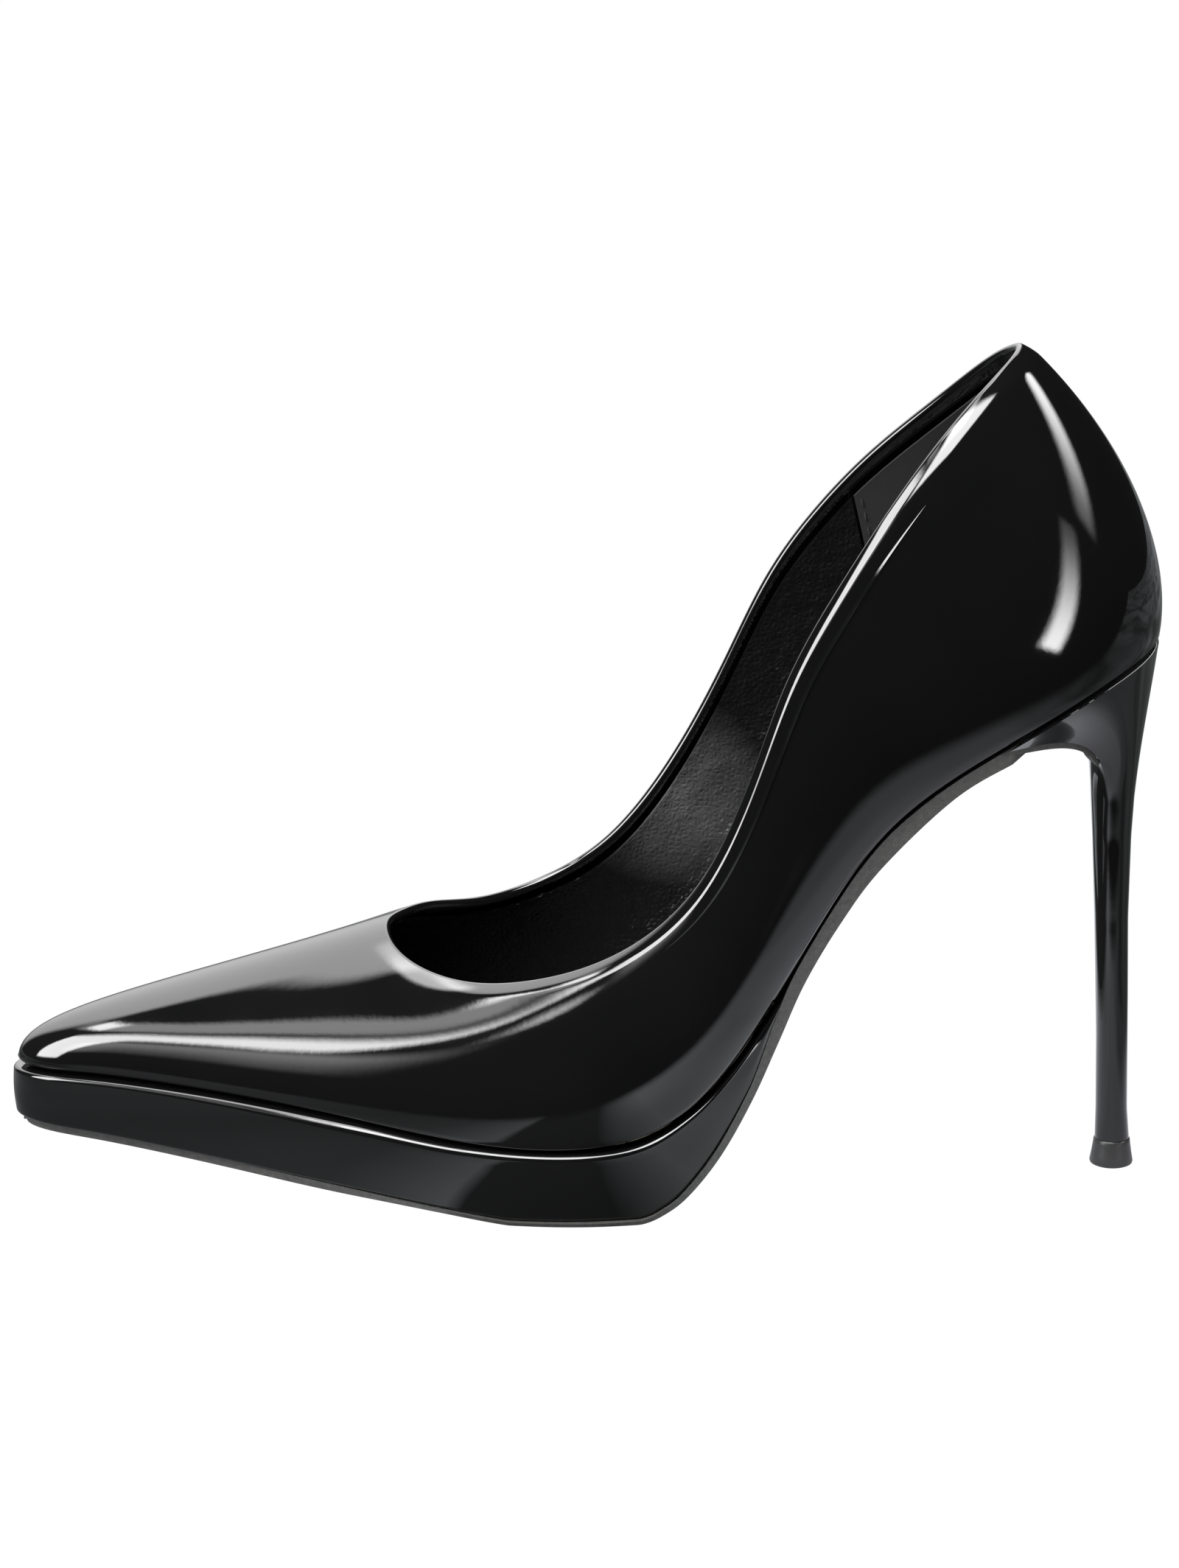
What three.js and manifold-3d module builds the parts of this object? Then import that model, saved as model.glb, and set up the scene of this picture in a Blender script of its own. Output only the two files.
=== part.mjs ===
// High heel pump, left shoe: pointed toe, covered platform, slim covered heel.
//
// Frame, in millimetres: +Z is up and the floor is z = 0. The toe points along -X, the outer
// (lateral) side of the foot is -Y. The origin is the centre of the heel tip's underside.
//
// The upper is one smooth surface. Ribs rise from the bottom (feather) edge to the topline,
// each one a cubic curve, and a closed spline carries them round the shoe. Every leather,
// stiffener and lining is a layer at its own depth inside that surface.
import * as THREE from "three";
import { mergeVertices } from "three/addons/utils/BufferGeometryUtils.js";
import Module from "manifold-3d";

const wasm = await Module();
wasm.setup();

// ---- driving dimensions ----------------------------------------------------------------

const TIP_X = -0.7; // centre of the heel tip in the tables; addPart moves it to x = 0
const GAP = 0.3; // clearance between neighbouring pieces
const LAYER_GAP = 0.2; // clearance between the layers of the upper
const FIT = 0.15; // clearance round a rod in its bore
const UPPER_THICKNESS = 1.1;
const STIFFENER_THICKNESS = 0.9;
const LINING_THICKNESS = 0.7;
const BINDING_HEIGHT = 1.1;
const LASTING_MARGIN = 9; // upper turned in under the insole
const OUTSOLE_THICKNESS = 1.8;
const COVER_THICKNESS = 0.8; // platform wrap
const HEEL_COVER_THICKNESS = 0.5;
const TOP_PIECE_HEIGHT = 5.5;
const TOP_PIECE_RADII = [4.4, 3.7]; // at the floor, at the stem
const TOP_PIECE_SIDES = 28;
const DOWEL_RADIUS = 1.5;
const DOWEL_BORE_RADIUS = 0.75;

// Depths of the layers inside the outer surface of the upper.
const STIFFENER_DEPTH = UPPER_THICKNESS + LAYER_GAP;
const LINING_DEPTH = STIFFENER_DEPTH + STIFFENER_THICKNESS + LAYER_GAP;
const CAVITY_DEPTH = LINING_DEPTH + LINING_THICKNESS;

// Feather edge seen from the side: the arch of the shoe, from toe to back.
const FEATHER_PROFILE = [
  [-223.3, 22.0], [-205, 22.6], [-180, 22.0], [-155, 20.3], [-132, 17.6], [-112, 17.0],
  [-98, 18.4], [-88, 23.6], [-80, 31.4], [-73, 41.2], [-66, 52.4], [-60, 62.4], [-54, 71.4],
  [-47, 79.4], [-36, 88.2], [-20, 98.0], [-6, 106.0], [5, 111.3],
];

// Underside of the outsole. It is flat on the floor under the ball of the foot.
const SOLE_PROFILE = [
  [-222, 9.4], [-205, 8.6], [-180, 6.4], [-155, 3.9], [-137, 1.7], [-122, -0.1],
  [-110, -0.3], [-98, -0.1], [-92, 2.0], [-87, 6.0], [-81, 13.7], [-75, 24.6], [-70, 36.0],
  [-65, 47.6], [-58, 59.6], [-50, 70.6], [-36, 84.4], [-24, 91.7], [-13, 97.2],
];

// Ribs from the centre back (first) to the toe tip (last). Each one gives the feather point
// (x, lateral y, medial y) and where it meets the topline on each side (x, y, z).
const RIBS = [
  { foot: [5.0, 0, 0], lateral: [-22.0, 0, 169.9], medial: [-22.0, 0, 169.9] },
  { foot: [2.2, 10.5, 10.5], lateral: [-24.1, 6.5, 168.5], medial: [-24.0, 6.2, 168.5] },
  { foot: [-6.2, 18.2, 17.8], lateral: [-29.8, 12.2, 164.1], medial: [-29.0, 11.4, 164.5] },
  { foot: [-19, 22.0, 21.0], lateral: [-39.6, 18.5, 154.2], medial: [-38.3, 17.8, 155.4] },
  { foot: [-34, 23.3, 21.2], lateral: [-50.5, 23.5, 140.2], medial: [-49.7, 22.4, 144.6] },
  { foot: [-49, 24.3, 20.2], lateral: [-61, 26.5, 124.2], medial: [-60.8, 25.4, 132.2] },
  { foot: [-61, 26.2, 20.0], lateral: [-69.3, 28.3, 108.4], medial: [-71.2, 26.6, 117.2] },
  { foot: [-73, 29.6, 22.0], lateral: [-76.2, 29.6, 89.4], medial: [-80.1, 27.4, 98.3] },
  { foot: [-88, 34.8, 27.4], lateral: [-86.6, 30.3, 68.2], medial: [-90.7, 28.3, 77.9] },
  { foot: [-108, 38.9, 32.6], lateral: [-101.6, 30.0, 54.8], medial: [-103.6, 28.6, 61.1] },
  { foot: [-133, 36.2, 33.6], lateral: [-117.4, 27.6, 48.6], medial: [-117.4, 26.8, 52.7] },
  { foot: [-159, 28.4, 26.6], lateral: [-131.5, 22.2, 46.2], medial: [-130, 22.5, 49.8] },
  { foot: [-184, 19.2, 18.2], lateral: [-141.5, 16.0, 47.2], medial: [-139.8, 16.6, 50.8] },
  { foot: [-205, 12.0, 11.6], lateral: [-146.6, 9.6, 48.9], medial: [-145.4, 10.0, 51.4] },
  { foot: [-218, 7.0, 6.9], lateral: [-148.6, 4.4, 50.4], medial: [-148.2, 4.4, 51.6] },
  { foot: [-223.3, 0, 0], lateral: [-149.0, 0, 51.3], medial: [-149.0, 0, 51.3] },
];

// Shape of a rib between its ends, at a few ribs (`at` counts from the centre back).
// `reach` is how far each handle runs along the rib in plan, `swell` how far it stands out,
// `rise` how far it climbs; the first value of each pair is the feather end.
const RIB_SHAPES = [
  { at: 0, reach: [0.33, 0.33], swell: [11.9, 11.7], rise: [0.27, 0.33] },
  { at: 2, reach: [0.33, 0.33], swell: [10.0, 8.0], rise: [0.28, 0.33] },
  { at: 4, reach: [0.33, 0.33], swell: [7.0, 5.0], rise: [0.3, 0.33] },
  { at: 7, reach: [0.33, 0.33], swell: [6.5, 4.5], rise: [0.3, 0.33] },
  { at: 9, reach: [0.3, 0.35], swell: [5.0, 5.0], rise: [0.3, 0.32] },
  { at: 11, reach: [0.15, 0.45], swell: [3.2, 3.6], rise: [0.3, 0.34] },
  { at: 13, reach: [0.03, 0.67], swell: [1.3, 1.3], rise: [0.31, 0.52] },
  { at: 15, reach: [-0.01, 0.754], swell: [0.0, 0.0], rise: [0.345, 0.566] },
];

// How far the leather rolls in at the topline, and over what height: rib, lateral, medial.
const TOPLINE_ROLL = [
  [0, 1.2, 1.2], [2, 1.0, 0.7], [5, 1.5, 0.6], [8, 1.6, 0.6], [11, 0.8, 0.5], [15, 0.4, 0.4],
];
const ROLL_WIDTH = 2.5;

const TOE_RIB = RIBS.length - 1;
const RIB_COUNT = 2 * TOE_RIB;
const TOE_X = RIBS[TOE_RIB].foot[0];
const BACK_X = RIBS[0].foot[0];

const COLOURS = {
  patent: { color: 0x0b0b0d, roughness: 0.08, metalness: 0 },
  lining: { color: 0x1a1918, roughness: 0.55, metalness: 0 },
  suede: { color: 0x161514, roughness: 0.95, metalness: 0 },
  fabric: { color: 0xb9b2a4, roughness: 0.95, metalness: 0 },
  board: { color: 0x9a8262, roughness: 0.9, metalness: 0 },
  foam: { color: 0xd9d4c6, roughness: 0.95, metalness: 0 },
  plastic: { color: 0x2a2a2c, roughness: 0.5, metalness: 0 },
  rubber: { color: 0x131313, roughness: 0.8, metalness: 0 },
  steel: { color: 0xa7a9ab, roughness: 0.35, metalness: 1 },
};

const pump = new THREE.Group();

function addPart(name, geometry, look) {
  geometry.translate(-TIP_X, 0, 0);
  const mesh = new THREE.Mesh(geometry, new THREE.MeshStandardMaterial(COLOURS[look]));
  mesh.name = name;
  pump.add(mesh);
}

// ---- curves ----------------------------------------------------------------------------

const CURVE_SAMPLES = 600;

// Height of a smooth side-view outline as a function of x.
function sideCurve(points) {
  const curve = new THREE.SplineCurve(points.map(([x, z]) => new THREE.Vector2(x, z)));
  const samples = curve.getPoints(CURVE_SAMPLES);
  return (x) => {
    let i = 1;
    while (i < samples.length - 1 && samples[i].x < x) i++;
    const from = samples[i - 1];
    const to = samples[i];
    return from.y + ((to.y - from.y) * (x - from.x)) / (to.x - from.x);
  };
}

const featherHeight = sideCurve(FEATHER_PROFILE);
const rawSole = sideCurve(SOLE_PROFILE);
const soleHeight = (x) => Math.max(0, rawSole(x));

// Moves a side-view curve square to itself by `distance` (up is positive).
function lifted(height, distance) {
  const step = 0.5;
  return (x) => {
    const slope = (height(x + step) - height(x - step)) / (2 * step);
    return height(x) + distance * Math.hypot(1, slope);
  };
}

const above = (distance) => lifted(featherHeight, distance);

// Reads one column of a table at x, along straight lines between its rows.
function tableAt(table, x, column) {
  let i = 1;
  while (i < table.length - 1 && table[i][0] < x) i++;
  const [from, to] = [table[i - 1], table[i]];
  const share = THREE.MathUtils.clamp((x - from[0]) / (to[0] - from[0]), 0, 1);
  return THREE.MathUtils.lerp(from[column], to[column], share);
}

const SPLINE_PASSES = 60; // enough for the control points to settle

// Closed cubic spline with continuous curvature through rows of numbers.
function closedSpline(rows) {
  const count = rows.length;
  const control = rows.map((row) => [...row]);
  for (let pass = 0; pass < SPLINE_PASSES; pass++) {
    for (let i = 0; i < count; i++) {
      const before = control[(i + count - 1) % count];
      const after = control[(i + 1) % count];
      control[i] = rows[i].map((value, k) => (6 * value - before[k] - after[k]) / 4);
    }
  }
  return (t) => {
    const wrapped = ((t % count) + count) % count;
    const i = Math.floor(wrapped);
    const f = wrapped - i;
    const weights = [
      (1 - f) ** 3 / 6,
      (3 * f ** 3 - 6 * f ** 2 + 4) / 6,
      (-3 * f ** 3 + 3 * f ** 2 + 3 * f + 1) / 6,
      f ** 3 / 6,
    ];
    return control[0].map((_, k) =>
      weights.reduce((sum, w, j) => sum + w * control[(i + j - 1 + count) % count][k], 0));
  };
}

// ---- the outer surface of the upper ------------------------------------------------------

function ribShape(at) {
  let i = 1;
  while (RIB_SHAPES[i].at < at) i++;
  const [from, to] = [RIB_SHAPES[i - 1], RIB_SHAPES[i]];
  const f = THREE.MathUtils.smoothstep(at, from.at, to.at);
  const mix = (key) => [0, 1].map((end) => from[key][end] + f * (to[key][end] - from[key][end]));
  return { reach: mix("reach"), swell: mix("swell"), rise: mix("rise") };
}

// Rib number 0 is the centre back; numbers grow along the lateral side to the toe tip and
// back along the medial side.
function ribPlace(number) {
  const wrapped = ((number % RIB_COUNT) + RIB_COUNT) % RIB_COUNT;
  const lateral = wrapped <= TOE_RIB;
  return { lateral, index: lateral ? wrapped : RIB_COUNT - wrapped };
}

function ribEnds(number) {
  const { lateral, index } = ribPlace(number);
  const { foot } = RIBS[index];
  const side = lateral ? -1 : 1;
  const top = lateral ? RIBS[index].lateral : RIBS[index].medial;
  return {
    index,
    foot: new THREE.Vector3(foot[0], side * foot[lateral ? 1 : 2], featherHeight(foot[0])),
    top: new THREE.Vector3(top[0], side * top[1], top[2]),
  };
}

// Square to a direction along the outline, out of the shoe, level with the floor.
function planOutward(along) {
  return new THREE.Vector3(-along.y, along.x, 0).normalize();
}

function ribControls(number) {
  const { index, foot, top } = ribEnds(number);
  const { reach, swell, rise } = ribShape(index);
  const along = ribEnds(number + 1).foot.sub(ribEnds(number - 1).foot);
  const outward = planOutward(along);
  const lower = foot.clone().lerp(top, reach[0]).addScaledVector(outward, swell[0]);
  lower.z = foot.z + rise[0] * (top.z - foot.z);
  const upper = top.clone().lerp(foot, reach[1]).addScaledVector(outward, swell[1]);
  upper.z = top.z - rise[1] * (top.z - foot.z);
  return [foot, lower, upper, top].flatMap((p) => p.toArray());
}

const ribRows = Array.from({ length: RIB_COUNT }, (_, number) => ribControls(number));
const ribAt = closedSpline(ribRows);

// Inward shift of the surface where the leather rolls in at the topline.
function rolledIn(u, v, controls) {
  const topOf = (c) => new THREE.Vector3(c[9], c[10], c[11]);
  const length = topOf(controls).distanceTo(new THREE.Vector3(...controls.slice(0, 3)));
  const near = THREE.MathUtils.clamp(1 - ((1 - v) * length) / ROLL_WIDTH, 0, 1);
  const { lateral, index } = ribPlace(u);
  const amount = tableAt(TOPLINE_ROLL, index, lateral ? 1 : 2);
  const du = 0.05;
  const along = topOf(ribAt(u + du)).sub(topOf(ribAt(u - du)));
  return planOutward(along).multiplyScalar(-amount * near ** 2);
}

// Point on the outer surface: u counts ribs, v runs from the feather (0) to the topline (1).
function outerPoint(u, v) {
  const c = ribAt(u);
  const w = [(1 - v) ** 3, 3 * v * (1 - v) ** 2, 3 * v * v * (1 - v), v ** 3];
  const axis = (k) => w[0] * c[k] + w[1] * c[k + 3] + w[2] * c[k + 6] + w[3] * c[k + 9];
  return new THREE.Vector3(axis(0), axis(1), axis(2)).add(rolledIn(u, v, c));
}

// Directions on the surface: up the rib, and out of the shoe.
function surfaceFrame(u, v) {
  const du = 0.02;
  const dv = 0.005;
  const low = Math.max(0, v - dv);
  const high = Math.min(1, v + dv);
  const along = outerPoint(u + du, v).sub(outerPoint(u - du, v));
  const up = outerPoint(u, high).sub(outerPoint(u, low)).normalize();
  const out = new THREE.Vector3().crossVectors(up, along).normalize();
  return { up, out };
}

// A point `depth` inside the outer surface, moved `beyond` past it up the rib.
function layerPoint(u, v, depth, beyond = 0) {
  const { up, out } = surfaceFrame(u, v);
  return outerPoint(u, v).addScaledVector(out, -depth).addScaledVector(up, beyond);
}

const featherPoint = (u) => outerPoint(u, 0);

const SPINE_END = 24; // the margin is drawn towards a spine that stops this far from the ends
const DRAW_LIMIT = 0.6; // share of the way to the spine

// The feather point drawn in under the shoe by `inset`, at `height` above the feather curve.
function marginPoint(u, inset, height) {
  const foot = featherPoint(u);
  const spineX = THREE.MathUtils.clamp(foot.x, TOE_X + SPINE_END, BACK_X - SPINE_END);
  const inward = new THREE.Vector3(spineX - foot.x, -foot.y, 0);
  const distance = Math.min(inset, DRAW_LIMIT * inward.length());
  const point = foot.clone().addScaledVector(inward.normalize(), distance);
  return point.setZ(above(height)(point.x));
}

// ---- solids ------------------------------------------------------------------------------

function geometryFrom(points, triangles) {
  const geometry = new THREE.BufferGeometry();
  geometry.setAttribute("position", new THREE.Float32BufferAttribute(
    points.flatMap((p) => p.toArray()), 3));
  geometry.setIndex(triangles.flat());
  return geometry;
}

// Turns the faces round if the solid came out inside out.
function facingOut(geometry) {
  const position = geometry.getAttribute("position");
  const index = geometry.getIndex();
  const corner = (i) => new THREE.Vector3().fromBufferAttribute(position, index.getX(i));
  let volume = 0;
  for (let i = 0; i < index.count; i += 3) {
    volume += corner(i).dot(corner(i + 1).cross(corner(i + 2)));
  }
  if (volume < 0) {
    for (let i = 0; i < index.count; i += 3) {
      const second = index.getX(i + 1);
      index.setX(i + 1, index.getX(i + 2));
      index.setX(i + 2, second);
    }
  }
  return geometry;
}

// A sheet with thickness: `section(s)` gives its two faces as rows of points, and the sheet
// runs along the values in `stations`. A closed sheet joins its last station to its first.
function sheet(stations, section, closed = false) {
  const points = [];
  const triangles = [];
  const rings = stations.map((s) => {
    const { front, back } = section(s);
    const ring = [...front, ...[...back].reverse()];
    ring.forEach((p) => points.push(p));
    return ring.length;
  });
  const size = rings[0];
  const rows = size / 2;
  const at = (station, k) => (station % stations.length) * size + ((k + size) % size);
  const spans = closed ? stations.length : stations.length - 1;
  for (let s = 0; s < spans; s++) {
    for (let k = 0; k < size; k++) {
      const [a, b, c, d] = [at(s, k), at(s + 1, k), at(s + 1, k + 1), at(s, k + 1)];
      // Both faces are split along the same diagonal, so that nested sheets stay apart.
      if (k < rows) triangles.push([a, b, c], [a, c, d]);
      else triangles.push([a, b, d], [b, c, d]);
    }
  }
  if (!closed) {
    const last = stations.length - 1;
    for (let k = 0; k < rows - 1; k++) {
      const far = size - 1 - k;
      triangles.push([at(0, k), at(0, k + 1), at(0, far - 1)], [at(0, k), at(0, far - 1), at(0, far)]);
      triangles.push(
        [at(last, k + 1), at(last, k), at(last, far - 1)],
        [at(last, far - 1), at(last, k), at(last, far)]);
    }
  }
  return facingOut(geometryFrom(points, triangles));
}

function range(from, to, steps) {
  return Array.from({ length: steps + 1 }, (_, i) => from + ((to - from) * i) / steps);
}

function closedRange(from, to, steps) {
  return range(from, to, steps).slice(0, -1);
}

// Every layer of the upper shares these stations round the shoe and rows up the wall, so
// that the flats of neighbouring layers stay side by side.
const STATION_STEP = 0.5; // ribs
const ROWS = [0, 0.12, 0.28, 0.45, 0.62, 0.8, 0.93, 0.97, 1];
const SEAM = 0.03; // half a seam's opening, in ribs
const allStations = closedRange(0, RIB_COUNT, RIB_COUNT / STATION_STEP);

function stationsBetween(from, to) {
  const steps = Math.round((to - from) / STATION_STEP);
  return [from + SEAM, ...range(from, to, steps).slice(1, -1), to - SEAM];
}

// ---- plan outlines -----------------------------------------------------------------------

const OUTLINE_SAMPLES = 480;
const outline = closedRange(0, RIB_COUNT, OUTLINE_SAMPLES).map(featherPoint);

// Half width of the shoe bottom at x on one side, drawn in by `inset`.
function halfWidth(side, x, inset) {
  const points = [];
  outline.forEach((p, i) => {
    const next = outline[(i + 1) % OUTLINE_SAMPLES];
    const previous = outline[(i + OUTLINE_SAMPLES - 1) % OUTLINE_SAMPLES];
    const along = next.clone().sub(previous);
    const moved = p.clone().addScaledVector(planOutward(along), -inset);
    if (p.y * side >= 0 && moved.y * side > 0) points.push(moved);
  });
  points.sort((a, b) => a.x - b.x);
  if (x <= points[0].x || x >= points[points.length - 1].x) return 0;
  let i = 1;
  while (points[i].x < x) i++;
  const [from, to] = [points[i - 1], points[i]];
  return Math.abs(from.y + ((to.y - from.y) * (x - from.x)) / (to.x - from.x || 1));
}

// Pieces of the shoe bottom share stations every few millimetres, closer together at their
// ends, where the outline is round.
const SLAB_STEP = 5;
const END_STEPS = [0, 0.6, 2];
const END_ROOM = 3; // no ordinary station this close to an end

function slabStations([from, to]) {
  const first = Math.ceil((from + END_ROOM) / SLAB_STEP);
  const last = Math.floor((to - END_ROOM) / SLAB_STEP);
  const middle = range(first, last, last - first).map((k) => k * SLAB_STEP);
  return [...END_STEPS.map((d) => from + d), ...middle, ...[...END_STEPS].reverse().map((d) => to - d)];
}

// An inset that changes from the forepart to the waist, where the walls stand further out.
const FOREPART_TO_WAIST = [-175, -125];
const foreToWaist = (fore, waist) => (x) =>
  THREE.MathUtils.lerp(fore, waist, THREE.MathUtils.smoothstep(x, ...FOREPART_TO_WAIST));

const LEAST_HALF_WIDTH = 0.4;
const FLAT_SHARE = 0.75; // part of the width left flat where the edges are lifted

// A piece of the shoe bottom between two side-view curves. An inset is a distance, or a
// distance for each x. `edgeLift` raises the lower face at its edges.
function slab({ ends, inset, bottom, top, bottomInset = inset, trim = () => 1, edgeLift = null }) {
  const insetAt = (draw, x) => (typeof draw === "function" ? draw(x) : draw);
  const shares = edgeLift ? [-1, -FLAT_SHARE, FLAT_SHARE, 1] : [-1, 1];
  const across = (x, draw, z, lift) => shares.map((share) => {
    const half = halfWidth(Math.sign(share), x, insetAt(draw, x)) * trim(x);
    const edge = Math.abs(share) === 1 ? lift : 0;
    return new THREE.Vector3(x, share * Math.max(LEAST_HALF_WIDTH, half), z + edge);
  });
  return sheet(slabStations(ends), (x) => ({
    front: across(x, bottomInset, bottom(x), edgeLift ? edgeLift(x) : 0),
    back: across(x, inset, top(x), 0),
  }));
}

// ---- joins and cuts ----------------------------------------------------------------------

function toManifold(geometry) {
  const bare = geometry.clone();
  bare.deleteAttribute("normal");
  bare.deleteAttribute("uv");
  const merged = mergeVertices(bare, 1e-4);
  return new wasm.Manifold(new wasm.Mesh({
    numProp: 3,
    vertProperties: new Float32Array(merged.getAttribute("position").array),
    triVerts: new Uint32Array(merged.getIndex().array),
  }));
}

function toGeometry(manifold) {
  const { vertProperties, triVerts } = manifold.getMesh();
  const geometry = new THREE.BufferGeometry();
  geometry.setAttribute("position", new THREE.BufferAttribute(new Float32Array(vertProperties), 3));
  geometry.setIndex(new THREE.BufferAttribute(new Uint32Array(triVerts), 1));
  return geometry;
}

function cut(geometry, ...cutters) {
  const whole = toManifold(geometry);
  return toGeometry(cutters.reduce((left, cutter) => left.subtract(toManifold(cutter)), whole));
}

// A round bar between two points, closed at both ends.
function rod(start, end, radius, sides = 16) {
  const length = start.distanceTo(end);
  const geometry = new THREE.CylinderGeometry(radius, radius, length, sides);
  const direction = end.clone().sub(start).normalize();
  geometry.applyQuaternion(new THREE.Quaternion().setFromUnitVectors(
    new THREE.Vector3(0, 1, 0), direction));
  const middle = start.clone().lerp(end, 0.5);
  return geometry.translate(middle.x, middle.y, middle.z);
}

// ---- upper, stiffeners and linings ---------------------------------------------------------

const MEDIAL_SEAM = RIB_COUNT - 6.5; // side seam at the inner waist
const COUNTER_SPAN = 4; // ribs either side of the centre back
const PUFF_SPAN = 3; // ribs either side of the toe tip
const GRIP_SPAN = 4.5; // ribs either side of the centre back

// Leather from the lasting margin, round the feather edge and up to the binding.
function upperSection(u) {
  const inner = ROWS.map((v) => layerPoint(u, v, UPPER_THICKNESS));
  inner[0].z = above(UPPER_THICKNESS)(inner[0].x);
  return {
    front: [marginPoint(u, LASTING_MARGIN, 0), ...ROWS.map((v) => layerPoint(u, v, 0))],
    back: [marginPoint(u, LASTING_MARGIN, UPPER_THICKNESS), ...inner],
  };
}

// An inner layer. Its lower edge stands on the lasting margin.
function layer(from, to, rows, depth, thickness) {
  const face = (u, d) => rows.map((v) => {
    const point = layerPoint(u, v, d);
    return point.setZ(Math.max(point.z, above(UPPER_THICKNESS + GAP)(point.x)));
  });
  return sheet(stationsBetween(from, to), (u) => ({
    front: face(u, depth),
    back: face(u, depth + thickness),
  }));
}

function buildUpper() {
  addPart("vamp_and_lateral_quarter", sheet(stationsBetween(0, MEDIAL_SEAM), upperSection), "patent");
  addPart("medial_quarter", sheet(stationsBetween(MEDIAL_SEAM, RIB_COUNT), upperSection), "patent");
}

// Half of the binding's rounded section: depth from its own face, height over the topline.
const BINDING_ROUND = [[0, GAP], [0.1, 0.75], [0.35 * CAVITY_DEPTH, BINDING_HEIGHT]];

// Rounded edge that caps the upper and the lining round the whole opening.
function buildBinding() {
  const section = (u) => ({
    front: BINDING_ROUND.map(([depth, height]) => layerPoint(u, 1, depth, height)),
    back: BINDING_ROUND.map(([depth, height]) => layerPoint(u, 1, CAVITY_DEPTH - depth, height)),
  });
  addPart("topline_binding", sheet(allStations, section, true), "patent");
}

function buildStiffeners() {
  const stiffener = (from, to, rows) => layer(from, to, rows, STIFFENER_DEPTH, STIFFENER_THICKNESS);
  addPart("toe_puff", stiffener(TOE_RIB - PUFF_SPAN, TOE_RIB + PUFF_SPAN, ROWS.slice(1, 5)), "plastic");
  addPart("heel_counter", stiffener(-COUNTER_SPAN, COUNTER_SPAN, ROWS.slice(1, 6)), "board");
  addPart("lateral_interlining",
    stiffener(COUNTER_SPAN, TOE_RIB - PUFF_SPAN, ROWS.slice(1, 6)), "fabric");
  addPart("medial_interlining",
    stiffener(TOE_RIB + PUFF_SPAN, RIB_COUNT - COUNTER_SPAN, ROWS.slice(1, 6)), "fabric");
}

function buildLinings() {
  const lining = (from, to) => layer(from, to, ROWS.slice(1), LINING_DEPTH, LINING_THICKNESS);
  addPart("vamp_lining", lining(GRIP_SPAN, RIB_COUNT - GRIP_SPAN), "lining");
  addPart("heel_grip", lining(-GRIP_SPAN, GRIP_SPAN), "suede");
}

// ---- boards, cushions and shank ------------------------------------------------------------

const BOARD_BOTTOM = UPPER_THICKNESS + 0.5;
const BOARD_THICKNESS = 1.2;
const SHANK_BOARD_BOTTOM = BOARD_BOTTOM + BOARD_THICKNESS + LAYER_GAP;
const SHANK_BOARD_THICKNESS = 1.0;
const PAD_BOTTOM = SHANK_BOARD_BOTTOM + SHANK_BOARD_THICKNESS + LAYER_GAP;
const PAD_THICKNESS = 0.9;
const SOCK_BOTTOM = PAD_BOTTOM + PAD_THICKNESS + LAYER_GAP;
const SOCK_THICKNESS = 0.8;
const SHANK_WIDTH = 10;
const SHANK_BOTTOM = 0.1;
const SHANK_THICKNESS = 1.0;
const FILLER_BOTTOM = 0.2;
const FILLER_THICKNESS = 0.9;

// Front and back ends of each piece.
const BOARD_ENDS = [TOE_X + 12, BACK_X - 6];
const SHANK_BOARD_ENDS = [-98, BACK_X - 8];
const SHANK_ENDS = [-94, -20];
const FILLER_ENDS = [TOE_X + 36, -100];
const CUSHION_ENDS = [TOE_X + 26, -102];
const PAD_ENDS = [-42, BACK_X - 11];
const SOCK_ENDS = [TOE_X + 22, BACK_X - 9];

// How far each piece is drawn in from the feather edge.
const BOARD_INSET = foreToWaist(5.2, 4.0);
const SHANK_BOARD_INSET = 4.2;
const FILLER_INSET = LASTING_MARGIN + 2;
const CUSHION_INSET = foreToWaist(9, 5);
const PAD_INSET = 9;
const SOCK_INSET = foreToWaist(8, 3.7);

const SEAT_ANGLE = 0.56; // slope of the heel seat, radians
const SEAT_AXIS = new THREE.Vector3(Math.sin(SEAT_ANGLE), 0, -Math.cos(SEAT_ANGLE));

// Places along the seat where something is driven down, square to the seat.
function seatPoint(x, y, height) {
  return new THREE.Vector3(x, y, featherHeight(x)).addScaledVector(SEAT_AXIS, -height);
}

const NAIL_PLACES = [[-9.5, -5.5], [-9.5, 5.5], [-12.5, -8], [-12.5, 8]];
const NAIL_LENGTH = 7;
const NAIL_RADIUS = 0.8;
const SCREW_RADIUS = 1.7;
const SCREW_LENGTH = 10;
const SCREW_X = -9;
const RIVET_PLACES = [-84, -26];
const RIVET_RADIUS = 1.5;
const RIVET_BEYOND = 3;

// Nails and screw run from the top of the shank board into the heel. A cutter for one runs
// past both its ends by `beyond`.
const FASTENER_TOP = SHANK_BOARD_BOTTOM + SHANK_BOARD_THICKNESS;
const CUTTER_BEYOND = 1.5;

function seatRod([x, y], length, radius, beyond, sides) {
  return rod(seatPoint(x, y, FASTENER_TOP + beyond), seatPoint(x, y, -length - beyond), radius, sides);
}

const nailRod = (place, radius, beyond = 0) => seatRod(place, NAIL_LENGTH, radius, beyond, 10);
const screwRod = (radius, beyond = 0) => seatRod([SCREW_X, 0], SCREW_LENGTH, radius, beyond, 16);

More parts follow.
